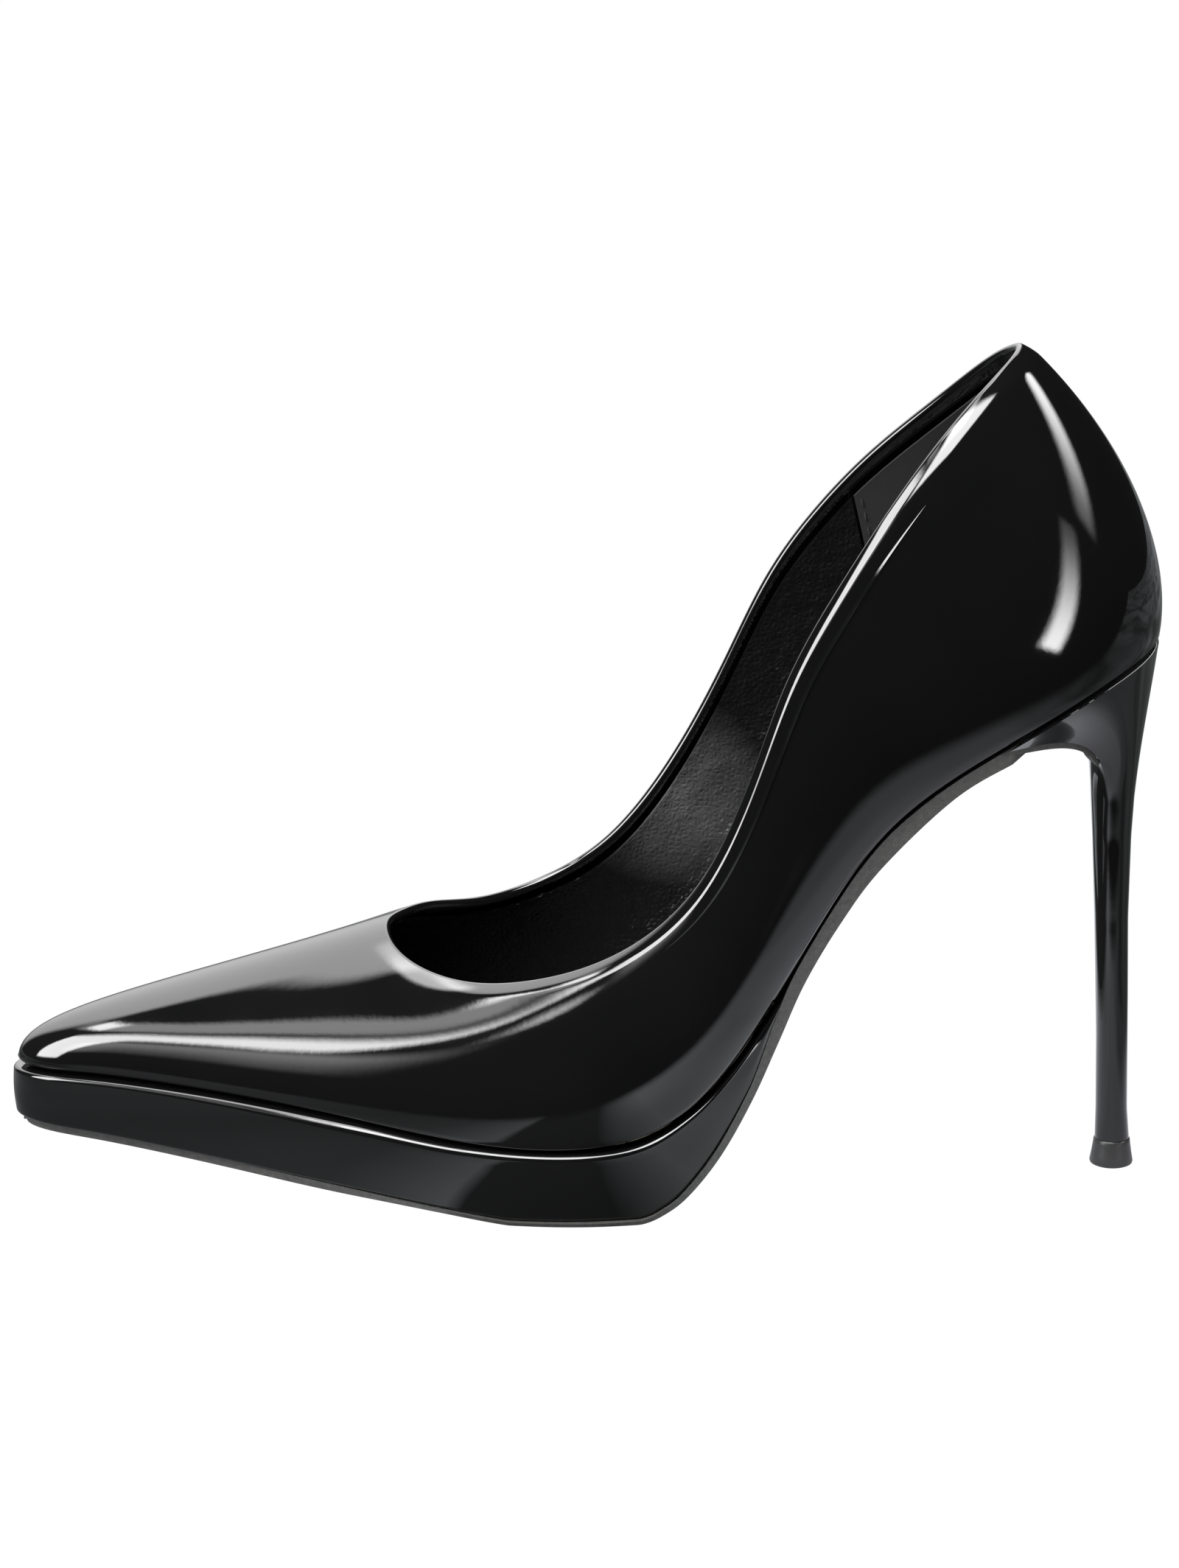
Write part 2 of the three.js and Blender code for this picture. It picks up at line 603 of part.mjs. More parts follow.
function rivetRod(x, radius, extra) {
  const slope = (featherHeight(x + 1) - featherHeight(x - 1)) / 2;
  const normal = new THREE.Vector3(-slope, 0, 1).normalize();
  const foot = new THREE.Vector3(x, 0, featherHeight(x));
  return rod(foot.clone().addScaledVector(normal, -extra),
    foot.clone().addScaledVector(normal, BOARD_BOTTOM + BOARD_THICKNESS + extra), radius, 12);
}

const seatCutters = () => [
  ...NAIL_PLACES.map((place) => nailRod(place, NAIL_RADIUS + GAP, CUTTER_BEYOND)),
  screwRod(SCREW_RADIUS + GAP, CUTTER_BEYOND),
];
const rivetCutters = () => RIVET_PLACES.map((x) => rivetRod(x, RIVET_RADIUS + GAP, RIVET_BEYOND));

function buildBoards() {
  const board = slab({ ends: BOARD_ENDS, inset: BOARD_INSET,
    bottom: above(BOARD_BOTTOM), top: above(BOARD_BOTTOM + BOARD_THICKNESS) });
  addPart("insole_board", cut(board, ...seatCutters(), ...rivetCutters()), "board");
  const stiff = slab({ ends: SHANK_BOARD_ENDS, inset: SHANK_BOARD_INSET,
    bottom: above(SHANK_BOARD_BOTTOM), top: above(SHANK_BOARD_BOTTOM + SHANK_BOARD_THICKNESS) });
  addPart("shank_board", cut(stiff, ...seatCutters()), "board");
}

function buildShank() {
  const edges = (x, height) => [-1, 1].map((side) =>
    new THREE.Vector3(x, (side * SHANK_WIDTH) / 2, above(height)(x)));
  const strip = sheet(range(...SHANK_ENDS, 20), (x) => ({
    front: edges(x, SHANK_BOTTOM),
    back: edges(x, SHANK_BOTTOM + SHANK_THICKNESS),
  }));
  addPart("steel_shank", cut(strip, ...rivetCutters()), "steel");
  addPart("shank_rivet_front", rivetRod(RIVET_PLACES[0], RIVET_RADIUS, 0), "steel");
  addPart("shank_rivet_rear", rivetRod(RIVET_PLACES[1], RIVET_RADIUS, 0), "steel");
}

function buildPadding() {
  addPart("bottom_filler", slab({ ends: FILLER_ENDS, inset: FILLER_INSET,
    bottom: above(FILLER_BOTTOM), top: above(FILLER_BOTTOM + FILLER_THICKNESS) }), "board");
  addPart("forefoot_cushion", slab({ ends: CUSHION_ENDS, inset: CUSHION_INSET,
    bottom: above(SHANK_BOARD_BOTTOM), top: above(SOCK_BOTTOM - LAYER_GAP) }), "foam");
  addPart("heel_pad", slab({ ends: PAD_ENDS, inset: PAD_INSET,
    bottom: above(PAD_BOTTOM), top: above(PAD_BOTTOM + PAD_THICKNESS) }), "foam");
  addPart("sock_lining", slab({ ends: SOCK_ENDS, inset: SOCK_INSET,
    bottom: above(SOCK_BOTTOM), top: above(SOCK_BOTTOM + SOCK_THICKNESS) }), "lining");
}

// ---- platform and outsole ------------------------------------------------------------------

const PLATFORM_END = -70;
const STAND_OUTS = [[-223, 1.0], [-155, 1.0], [-130, 0.3], [-70, 0.2]]; // x, past the feather edge
const LEDGE_DROP = 0.5; // groove between the upper and the platform's top
const LOWER_ROUND = 0.9;
const SHOULDER_ROUNDS = [[-223, 0.9], [-200, 1.1], [-160, 2.0], [-130, 1.6], [-70, 1.4]]; // x, radius
const WALL_LEANS = [ // x, undercut
  [-223, 0.3], [-190, 0.5], [-155, 1.4], [-130, 1.4], [-100, 1.8], [-70, 0.8],
];
const FULL_LEAN_HEIGHT = 12; // lower walls lean less
const SOLE_INSET = 0.7;
const SOLE_LOWER_INSET = 1.3;
const WAIST_RISE = [-76, -64]; // x range where the sole thickens to meet the upper
const BREAST_EDGE_X = -26; // front corners of the heel seat
const BREAST_CENTRE_X = -14; // deepest point of the hollow breast

// Top of the outsole: flat under the platform, close to the upper through the waist.
function soleTop(x) {
  const share = THREE.MathUtils.smoothstep(x, ...WAIST_RISE);
  return THREE.MathUtils.lerp(lifted(soleHeight, OUTSOLE_THICKNESS)(x), above(-GAP)(x), share);
}

const platformBottom = lifted(soleTop, GAP);
const platformTop = above(-LEDGE_DROP);

// The tread is rounded across, so its edges are off the floor under the ball.
const TREAD_LIFT = { height: 0.9, centre: -118, reach: 34 };
const treadEdgeLift = (x) =>
  TREAD_LIFT.height * Math.exp(-(((x - TREAD_LIFT.centre) / TREAD_LIFT.reach) ** 4));

// Ribs where the platform wrap begins and ends, found from its rear x.
function ribAtX(x, side) {
  const steps = range(0, TOE_RIB, 300);
  const found = steps.find((t) => featherPoint(side < 0 ? t : RIB_COUNT - t).x <= x);
  return side < 0 ? found : RIB_COUNT - found;
}

// Wall of the platform wrap, `depth` inside its outer face: a small round at the sole, a
// leaning face and a larger round at the shoulder.
function platformWall(u, depth) {
  const foot = featherPoint(u);
  const du = 0.02;
  const outward = planOutward(featherPoint(u + du).sub(featherPoint(u - du)));
  const room = platformTop(foot.x) - platformBottom(foot.x);
  const shoulder = Math.min(tableAt(SHOULDER_ROUNDS, foot.x, 1), 0.5 * room);
  const lean = tableAt(WALL_LEANS, foot.x, 1) * Math.min(1, room / FULL_LEAN_HEIGHT);
  const small = Math.min(LOWER_ROUND, 0.3 * room);
  const standOut = tableAt(STAND_OUTS, foot.x, 1);
  const wall = (inset, height) => {
    const point = foot.clone().addScaledVector(outward, standOut - inset);
    const share = height / room;
    return point.setZ(THREE.MathUtils.lerp(platformBottom(point.x), platformTop(point.x), share));
  };
  const round = [0, Math.PI / 4, Math.PI / 2].map((a) => wall(
    depth + (shoulder - depth) * (1 - Math.cos(a)),
    room - shoulder + (shoulder - depth) * Math.sin(a)));
  return [wall(lean + small + depth, 0), wall(lean + depth, small), ...round];
}

const CORE_INSETS = [4.4, 3.8]; // at the sole, at the upper

function buildPlatform() {
  const stations = range(ribAtX(PLATFORM_END, -1), ribAtX(PLATFORM_END, 1), 50);
  const wrap = sheet(stations, (u) => ({
    front: platformWall(u, 0),
    back: platformWall(u, COVER_THICKNESS),
  }));
  addPart("platform_cover", wrap, "patent");
  addPart("platform_core", slab({ ends: [TOE_X + 6, PLATFORM_END - 1], inset: CORE_INSETS[1],
    bottomInset: CORE_INSETS[0], bottom: platformBottom, top: platformTop }), "foam");
}

// The sole narrows to a tongue that fits the hollow of the heel breast.
const TONGUE_ROOM = 1.2; // kept clear in front of the breast
const TONGUE_SHARE = 0.88;

function breastTrim(x) {
  const f = (x - BREAST_EDGE_X + TONGUE_ROOM) / (BREAST_CENTRE_X - BREAST_EDGE_X);
  return f <= 0 ? 1 : Math.sqrt(Math.max(0, 1 - f)) * TONGUE_SHARE;
}

const SOLE_ENDS = [TOE_X + 0.7, BREAST_CENTRE_X - TONGUE_ROOM];

function buildOutsole() {
  addPart("outsole", slab({ ends: SOLE_ENDS, inset: SOLE_INSET, bottomInset: SOLE_LOWER_INSET,
    bottom: soleHeight, top: soleTop, trim: breastTrim, edgeLift: treadEdgeLift }), "rubber");
}

// ---- heel ------------------------------------------------------------------------------------

const STEM = [ // height, centre x, half length, half width
  [TOP_PIECE_HEIGHT, TIP_X, 3.5, 3.6], [12, -1.0, 3.2, 3.4], [28, -1.4, 3.2, 3.3],
  [53, -2.3, 3.4, 3.6], [70, -2.75, 3.9, 4.3], [80, -2.9, 4.45, 5.3], [90, -2.9, 5.2, 6.6],
];
const STEM_TOP = 78;
const FLARE_HANDLE = 90;
const SEAT_CORNER_RIB = 3.45;
const CORNER_ANGLE = 0.62 * Math.PI;

function stemRing(angle, z, depth) {
  const [centre, length, width] = [1, 2, 3].map((column) => tableAt(STEM, z, column));
  return new THREE.Vector3(
    centre + (length - depth) * Math.cos(angle), -(width - depth) * Math.sin(angle), z);
}

// Rim of the heel seat: round the back it follows the feather edge, across the front it
// is hollow. Angle 0 is the centre back and pi is the middle of the breast.
const RIM_INSET = -0.1;
const RIM_HEIGHT = -0.4;
const CORNER_RETREAT = 0.175; // ribs the seat corner moves back for each millimetre of depth

const seatCorner = (side, depth) =>
  marginPoint(side * (SEAT_CORNER_RIB - CORNER_RETREAT * depth), depth + RIM_INSET, RIM_HEIGHT);

function rimPoint(angle, depth) {
  const turn = Math.abs(angle);
  const side = Math.sign(angle) || 1;
  const corner = seatCorner(side, depth);
  if (turn <= CORNER_ANGLE) {
    const u = side * (SEAT_CORNER_RIB - CORNER_RETREAT * depth) * (turn / CORNER_ANGLE);
    return marginPoint(u, depth + RIM_INSET, RIM_HEIGHT);
  }
  // The hollow is a parabola in plan; deeper layers move back square to it.
  const outerCorner = seatCorner(side, 0);
  const hollow = BREAST_CENTRE_X - BREAST_EDGE_X;
  const y = (corner.y * (Math.PI - turn)) / (Math.PI - CORNER_ANGLE);
  const slope = (2 * hollow * y) / outerCorner.y ** 2;
  const x = outerCorner.x + hollow * (1 - (y / outerCorner.y) ** 2) + depth * Math.hypot(1, slope);
  return new THREE.Vector3(x, y, above(RIM_HEIGHT)(x));
}

// The flare turns later and tighter at the breast than round the back.
const FRONT_TURN = [0.3 * Math.PI, CORNER_ANGLE];
const FRONT_LIFT = 5;
const FLARE_LEAN = 0.35; // share of the way the upper handle leans back to the stem
const FLARE_RISE = 0.45; // share of the rise the upper handle takes

// Outer surface of the heel, `depth` inside it. t runs up the flare from 0 to 1.
function flarePoint(angle, t, depth) {
  const front = THREE.MathUtils.smoothstep(Math.abs(angle), ...FRONT_TURN);
  const p0 = stemRing(angle, STEM_TOP, depth);
  const p1 = stemRing(angle, FLARE_HANDLE, depth);
  p1.z += FRONT_LIFT * front;
  const p3 = rimPoint(angle, depth);
  const p2 = p3.clone().lerp(p1, FLARE_LEAN + 0.1 * front);
  p2.z = p3.z + (FLARE_RISE - 0.4 * front) * (FLARE_HANDLE - p3.z) + depth * 0.9;
  return new THREE.CubicBezierCurve3(p0, p1, p2, p3).getPoint(t);
}

const signedAngle = (a) => (a > Math.PI ? a - 2 * Math.PI : a);
const HEEL_ANGLES = [...range(-CORNER_ANGLE, CORNER_ANGLE, 18),
  ...range(CORNER_ANGLE, 2 * Math.PI - CORNER_ANGLE, 8).slice(1, -1).map(signedAngle)];

// Rings of the heel from the tip to the seat. `beyond` runs both ends past the heel.
const STEM_HEIGHTS = [12, 28, 40, 53, 65];

function heelRings(depth, beyond = 0) {
  const stem = [TOP_PIECE_HEIGHT + GAP - beyond, ...STEM_HEIGHTS].map((z) =>
    HEEL_ANGLES.map((a) => stemRing(a, z, depth)));
  const flare = range(0, 1, 8).map((t) => HEEL_ANGLES.map((a) => flarePoint(a, t, depth)));
  const raised = flare[flare.length - 1].map((p) => p.clone().add(new THREE.Vector3(0, 0, beyond)));
  return beyond > 0 ? [...stem, ...flare, raised] : [...stem, ...flare];
}

// Closed solid through rings of points, with a fan over each end.
function loft(rings) {
  const size = rings[0].length;
  const centreOf = (ring) => ring.reduce((sum, p) => sum.add(p), new THREE.Vector3()).divideScalar(size);
  const points = [...rings.flat(), centreOf(rings[0]), centreOf(rings[rings.length - 1])];
  const triangles = [];
  for (let r = 0; r < rings.length - 1; r++) {
    for (let k = 0; k < size; k++) {
      const next = (k + 1) % size;
      const [a, b, c, d] = [r * size + k, r * size + next, (r + 1) * size + next, (r + 1) * size + k];
      triangles.push([a, b, c], [a, c, d]);
    }
  }
  const [low, high] = [points.length - 2, points.length - 1];
  const top = (rings.length - 1) * size;
  for (let k = 0; k < size; k++) {
    const next = (k + 1) % size;
    triangles.push([low, next, k], [high, top + k, top + next]);
  }
  return facingOut(geometryFrom(points, triangles));
}

const BORE_BEYOND = 4;
const PIN_HEIGHTS = [2.5, 18];
const stemCentre = (z) => new THREE.Vector3(tableAt(STEM, z, 1), 0, z);
const raised = (point, distance) => point.clone().add(new THREE.Vector3(0, 0, distance));
const DOWEL_BOTTOM = stemCentre(TOP_PIECE_HEIGHT + 2 * GAP);
const DOWEL_TOP = stemCentre(74);

function buildHeel() {
  const blockDepth = HEEL_COVER_THICKNESS + GAP;
  // The inner solid runs past both ends, which leaves the wrap open there.
  addPart("heel_cover", cut(loft(heelRings(0)), loft(heelRings(HEEL_COVER_THICKNESS, 3))), "patent");
  const below = raised(DOWEL_BOTTOM, -BORE_BEYOND);
  const socket = rod(below, raised(DOWEL_TOP, GAP), DOWEL_RADIUS + FIT);
  addPart("heel_block", cut(loft(heelRings(blockDepth)), socket, ...seatCutters()), "plastic");
  const tube = rod(DOWEL_BOTTOM, DOWEL_TOP, DOWEL_RADIUS);
  const bore = rod(below, raised(DOWEL_TOP, BORE_BEYOND), DOWEL_BORE_RADIUS);
  addPart("heel_dowel", cut(tube, bore), "steel");
}

// Tongue of sole leather turned down the hollow breast, ending in a small step.
const FLAP_EDGE = CORNER_ANGLE + 0.05 * Math.PI;
const FLAP_ROWS = [0.22, 0.36, 0.5, 0.64, 0.78];
const FLAP_DEPTHS = [-1.0, -0.25]; // front and back faces, in front of the heel cover

function buildBreastFlap() {
  const face = (a, depth) => FLAP_ROWS.map((t) => flarePoint(signedAngle(a), t, depth));
  const flap = sheet(range(FLAP_EDGE, 2 * Math.PI - FLAP_EDGE, 8), (a) => ({
    front: face(a, FLAP_DEPTHS[0]),
    back: face(a, FLAP_DEPTHS[1]),
  }));
  addPart("heel_breast_flap", flap, "rubber");
}

function buildHeelFasteners() {
  addPart("heel_screw", screwRod(SCREW_RADIUS), "steel");
  NAIL_PLACES.forEach((place, i) => addPart(`heel_nail_${i + 1}`, nailRod(place, NAIL_RADIUS), "steel"));
}

function buildTopPiece() {
  const [floorRadius, stemRadius] = TOP_PIECE_RADII;
  const cap = new THREE.CylinderGeometry(stemRadius, floorRadius, TOP_PIECE_HEIGHT, TOP_PIECE_SIDES);
  cap.rotateX(Math.PI / 2).translate(TIP_X, 0, TOP_PIECE_HEIGHT / 2);
  const pinRadius = DOWEL_BORE_RADIUS - FIT;
  const pinStart = new THREE.Vector3(DOWEL_BOTTOM.x, 0, PIN_HEIGHTS[0]);
  const pinEnd = stemCentre(PIN_HEIGHTS[1]);
  const socket = rod(raised(pinStart, -GAP), pinEnd, pinRadius + FIT, 12);
  addPart("top_piece", cut(cap, socket), "rubber");
  addPart("top_piece_pin", rod(pinStart, pinEnd, pinRadius, 10), "steel");
}

buildUpper();
buildBinding();
buildStiffeners();
buildLinings();
buildBoards();
buildShank();
buildPadding();
buildPlatform();
buildOutsole();
buildHeel();
buildBreastFlap();
buildHeelFasteners();
buildTopPiece();

export default pump;
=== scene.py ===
"""High heel pump in black patent leather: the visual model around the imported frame.

The upper is one smooth surface, as in the CAD model: ribs climb from the bottom (feather) edge
to the topline and a closed spline carries them round the shoe. Here the leather, linings and
sock are meshed finely from that surface, with turned edges, seams and grain.

Sizes are in millimetres and become metres only when a mesh is made.
"""
import math

import bpy
import numpy as np
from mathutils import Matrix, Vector


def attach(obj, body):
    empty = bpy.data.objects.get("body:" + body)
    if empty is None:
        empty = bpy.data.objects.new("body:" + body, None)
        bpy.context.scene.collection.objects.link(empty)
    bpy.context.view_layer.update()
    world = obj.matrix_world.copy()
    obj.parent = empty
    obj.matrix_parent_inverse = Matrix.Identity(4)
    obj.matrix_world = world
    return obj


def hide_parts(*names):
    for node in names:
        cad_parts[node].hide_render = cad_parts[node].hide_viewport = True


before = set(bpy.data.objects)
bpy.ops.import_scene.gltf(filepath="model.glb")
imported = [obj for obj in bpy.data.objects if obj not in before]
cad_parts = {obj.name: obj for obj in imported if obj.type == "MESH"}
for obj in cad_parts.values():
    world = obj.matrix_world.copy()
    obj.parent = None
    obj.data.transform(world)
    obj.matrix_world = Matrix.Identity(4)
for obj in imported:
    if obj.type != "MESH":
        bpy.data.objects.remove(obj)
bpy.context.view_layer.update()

MM = 0.001
BODY = "root"
TIP_X = -0.7  # centre of the heel tip in the tables below; every piece is moved to put it at 0

# ---- driving dimensions (mm) -------------------------------------------------------------

UPPER_THICKNESS = 1.1
STIFFENER_THICKNESS = 0.9
LINING_THICKNESS = 0.7
LAYER_GAP = 0.2
EDGE_THICKNESS = 2.0  # leather and lining together at the topline
FOLD_DEPTH = 5.0  # patent turned over the topline and down inside
FEATHER_RADIUS = 1.8  # round of the upper where it turns under
LASTING_MARGIN = 9.0
OUTSOLE_THICKNESS = 1.8
COVER_THICKNESS = 0.8

STIFFENER_DEPTH = UPPER_THICKNESS + LAYER_GAP
LINING_DEPTH = STIFFENER_DEPTH + STIFFENER_THICKNESS + LAYER_GAP
LINING_FLOOR = UPPER_THICKNESS + 0.3  # lowest that linings and stiffeners reach
SOCK_HEIGHT = 6.7  # top of the sock above the feather curve
SOCK_THICKNESS = 0.8

# Feather edge and outsole underside seen from the side, toe to back: (x, z).
FEATHER_PROFILE = [
    (-223.3, 22.0), (-205, 22.6), (-180, 22.0), (-155, 20.3), (-132, 17.6), (-112, 17.0),
    (-98, 18.4), (-88, 23.6), (-80, 31.4), (-73, 41.2), (-66, 52.4), (-60, 62.4),
    (-54, 71.4), (-47, 79.4), (-36, 88.2), (-20, 98.0), (-6, 106.0), (5, 111.3),
]
SOLE_PROFILE = [
    (-222, 9.4), (-205, 8.6), (-180, 6.4), (-155, 3.9), (-137, 1.7), (-122, -0.1),
    (-110, -0.3), (-98, -0.1), (-92, 2.0), (-87, 6.0), (-81, 13.7), (-75, 24.6),
    (-70, 36.0), (-65, 47.6), (-58, 59.6), (-50, 70.6), (-36, 84.4), (-24, 91.7),
    (-13, 97.2),
]

# Ribs from the centre back to the toe tip: feather point (x, lateral y, medial y), then the
# topline point on the lateral side and on the medial side (x, y, z).
RIBS = [
    ((5.0, 0, 0), (-22.0, 0, 169.9), (-22.0, 0, 169.9)),
    ((2.2, 10.5, 10.5), (-24.1, 6.5, 168.5), (-24.0, 6.2, 168.5)),
    ((-6.2, 18.2, 17.8), (-29.8, 12.2, 164.1), (-29.0, 11.4, 164.5)),
    ((-19, 22.0, 21.0), (-39.6, 18.5, 154.2), (-38.3, 17.8, 155.4)),
    ((-34, 23.3, 21.2), (-50.5, 23.5, 140.2), (-49.7, 22.4, 144.6)),
    ((-49, 24.3, 20.2), (-61, 26.5, 124.2), (-60.8, 25.4, 132.2)),
    ((-61, 26.2, 20.0), (-69.3, 28.3, 108.4), (-71.2, 26.6, 117.2)),
    ((-73, 29.6, 22.0), (-76.2, 29.6, 89.4), (-80.1, 27.4, 98.3)),
    ((-88, 34.8, 27.4), (-86.6, 30.3, 68.2), (-90.7, 28.3, 77.9)),
    ((-108, 38.9, 32.6), (-101.6, 30.0, 54.8), (-103.6, 28.6, 61.1)),
    ((-133, 36.2, 33.6), (-117.4, 27.6, 48.6), (-117.4, 26.8, 52.7)),
    ((-159, 28.4, 26.6), (-131.5, 22.2, 46.2), (-130, 22.5, 49.8)),
    ((-184, 19.2, 18.2), (-141.5, 16.0, 47.2), (-139.8, 16.6, 50.8)),
    ((-205, 12.0, 11.6), (-146.6, 9.6, 48.9), (-145.4, 10.0, 51.4)),
    ((-218, 7.0, 6.9), (-148.6, 4.4, 50.4), (-148.2, 4.4, 51.6)),
    ((-223.3, 0, 0), (-149.0, 0, 51.3), (-149.0, 0, 51.3)),
]

# Shape of a rib between its ends: rib, reach, swell and rise of its lower and upper handle.
RIB_SHAPES = [
    (0, (0.33, 0.33), (11.9, 11.7), (0.27, 0.33)),
    (2, (0.33, 0.33), (10.0, 8.0), (0.28, 0.33)),
    (4, (0.33, 0.33), (7.0, 5.0), (0.3, 0.33)),
    (7, (0.33, 0.33), (6.5, 4.5), (0.3, 0.33)),
    (9, (0.3, 0.35), (5.0, 5.0), (0.3, 0.32)),
    (11, (0.15, 0.45), (3.2, 3.6), (0.3, 0.34)),
    (13, (0.03, 0.67), (1.3, 1.3), (0.31, 0.52)),
    (15, (-0.01, 0.754), (0.0, 0.0), (0.345, 0.566)),
]

# How far the leather rolls in at the topline: rib, lateral mm, medial mm.
TOPLINE_ROLL = [
    (0, 1.2, 1.2), (2, 1.0, 0.7), (5, 1.5, 0.6), (8, 1.6, 0.6), (11, 0.8, 0.5), (15, 0.4, 0.4),
]
ROLL_WIDTH = 2.5

TOE_RIB = len(RIBS) - 1
RIB_COUNT = 2 * TOE_RIB
TOE_X = RIBS[TOE_RIB][0][0]
BACK_X = RIBS[0][0][0]
MEDIAL_SEAM = RIB_COUNT - 6.5
SEAM = 0.003  # half a closed seam's width, in ribs
GRIP_SPAN = 4.5
COUNTER_SPAN = 4
PUFF_SPAN = 3


# ---- curves --------------------------------------------------------------------------------

def side_curve(points):
    """Height of a smooth side-view outline as a function of x."""
    knots = np.array(points, float)
    padded = np.vstack([knots[:1], knots, knots[-1:]])
    t = np.linspace(0, len(knots) - 1, 1200)
    i = np.minimum(t.astype(int), len(knots) - 2)
    f = (t - i)[:, None]
    a, b, c, d = (padded[i + k] for k in range(4))
    slope_in = (c - a) / 2
    slope_out = (d - b) / 2
    curve = ((2 * b - 2 * c + slope_in + slope_out) * f ** 3
             + (-3 * b + 3 * c - 2 * slope_in - slope_out) * f ** 2 + slope_in * f + b)

    def height(x):
        x = np.asarray(x, float)
        z = np.interp(x, curve[:, 0], curve[:, 1])
        end_slope = (curve[-1, 1] - curve[-2, 1]) / (curve[-1, 0] - curve[-2, 0])
        return z + np.maximum(0, x - curve[-1, 0]) * end_slope

    return height


feather_height = side_curve(FEATHER_PROFILE)
raw_sole = side_curve(SOLE_PROFILE)


def sole_height(x):
    return np.maximum(0, raw_sole(x))


def lifted(height, distance):
    """Moves a side-view curve square to itself; up is positive."""
    def moved(x):
        slope = height(np.asarray(x) + 0.5) - height(np.asarray(x) - 0.5)
        return height(x) + distance * np.hypot(1, slope)
    return moved


def above(distance):
    return lifted(feather_height, distance)


def closed_spline(rows):
    """Closed cubic spline with continuous curvature through rows of numbers."""
    rows = np.array(rows, float)
    count = len(rows)
    shift = np.eye(count)
    system = (4 * shift + np.roll(shift, 1, 0) + np.roll(shift, -1, 0)) / 6
    control = np.linalg.solve(system, rows)

    def at(t):
        t = np.mod(np.asarray(t, float), count)
        i = np.floor(t).astype(int)
        f = (t - i)[..., None]
        weights = [(1 - f) ** 3, 3 * f ** 3 - 6 * f ** 2 + 4,
                   -3 * f ** 3 + 3 * f ** 2 + 3 * f + 1, f ** 3]
        return sum(w * control[(i + k - 1) % count] for k, w in enumerate(weights)) / 6

    return at


# ---- the outer surface of the upper ---------------------------------------------------------

def unit(v):
    return v / np.maximum(np.linalg.norm(v, axis=-1, keepdims=True), 1e-9)


def plan_outward(along):
    """Square to a direction along the outline, out of the shoe, level with the floor."""
    out = np.stack([-along[..., 1], along[..., 0], np.zeros_like(along[..., 0])], -1)
    return unit(out)


def rib_ends(number):
    wrapped = number % RIB_COUNT
    lateral = wrapped <= TOE_RIB
    index = wrapped if lateral else RIB_COUNT - wrapped
    foot, lateral_top, medial_top = RIBS[index]
    side = -1 if lateral else 1
    top = lateral_top if lateral else medial_top
    start = np.array([foot[0], side * foot[1 if lateral else 2], float(feather_height(foot[0]))])
    return index, start, np.array([top[0], side * top[1], top[2]])


def rib_shape(index):
    k = next(k for k in range(1, len(RIB_SHAPES)) if RIB_SHAPES[k][0] >= index)
    before, after = RIB_SHAPES[k - 1], RIB_SHAPES[k]
    f = np.clip((index - before[0]) / (after[0] - before[0]), 0, 1)
    f = f * f * (3 - 2 * f)
    return [np.array(before[j]) * (1 - f) + np.array(after[j]) * f for j in (1, 2, 3)]


def rib_row(number):
    index, foot, top = rib_ends(number)
    reach, swell, rise = rib_shape(index)
    outward = plan_outward(rib_ends(number + 1)[1] - rib_ends(number - 1)[1])
    lower = foot + (top - foot) * reach[0] + outward * swell[0]
    lower[2] = foot[2] + rise[0] * (top[2] - foot[2])
    upper = top + (foot - top) * reach[1] + outward * swell[1]
    upper[2] = top[2] - rise[1] * (top[2] - foot[2])
    return np.concatenate([foot, lower, upper, top])


rib_at = closed_spline([rib_row(n) for n in range(RIB_COUNT)])


def roll_amount(u):
    wrapped = np.mod(u, RIB_COUNT)
    lateral = wrapped <= TOE_RIB
    index = np.where(lateral, wrapped, RIB_COUNT - wrapped)
    table = np.array(TOPLINE_ROLL)
    return np.where(lateral, np.interp(index, table[:, 0], table[:, 1]),
                    np.interp(index, table[:, 0], table[:, 2]))


def outer(u, v):
    """Points of the outer surface: u counts ribs, v runs from the feather to the topline."""
    u = np.asarray(u, float)
    c = rib_at(u)
    v = np.asarray(v, float)[..., None]
    point = ((1 - v) ** 3 * c[..., 0:3] + 3 * v * (1 - v) ** 2 * c[..., 3:6]
             + 3 * v * v * (1 - v) * c[..., 6:9] + v ** 3 * c[..., 9:12])
    along = rib_at(u + 0.05)[..., 9:12] - rib_at(u - 0.05)[..., 9:12]
    length = np.linalg.norm(c[..., 9:12] - c[..., 0:3], axis=-1, keepdims=True)
    near = np.clip(1 - (1 - v) * length / ROLL_WIDTH, 0, 1)
    return point - plan_outward(along) * roll_amount(u)[..., None] * near ** 2


def directions(u, v):
    """Unit directions up the rib and out of the shoe."""
    dv = 0.004
    along = outer(u + 0.01, v) - outer(u - 0.01, v)
    up = unit(outer(u, np.minimum(1, v + dv)) - outer(u, np.maximum(0, v - dv)))
    return up, unit(np.cross(up, along))


def layer_point(u, v, depth, beyond=0.0):
    up, out = directions(u, v)
    depth = np.asarray(depth, float)[..., None]
    beyond = np.asarray(beyond, float)[..., None]
    return outer(u, v) - out * depth + up * beyond


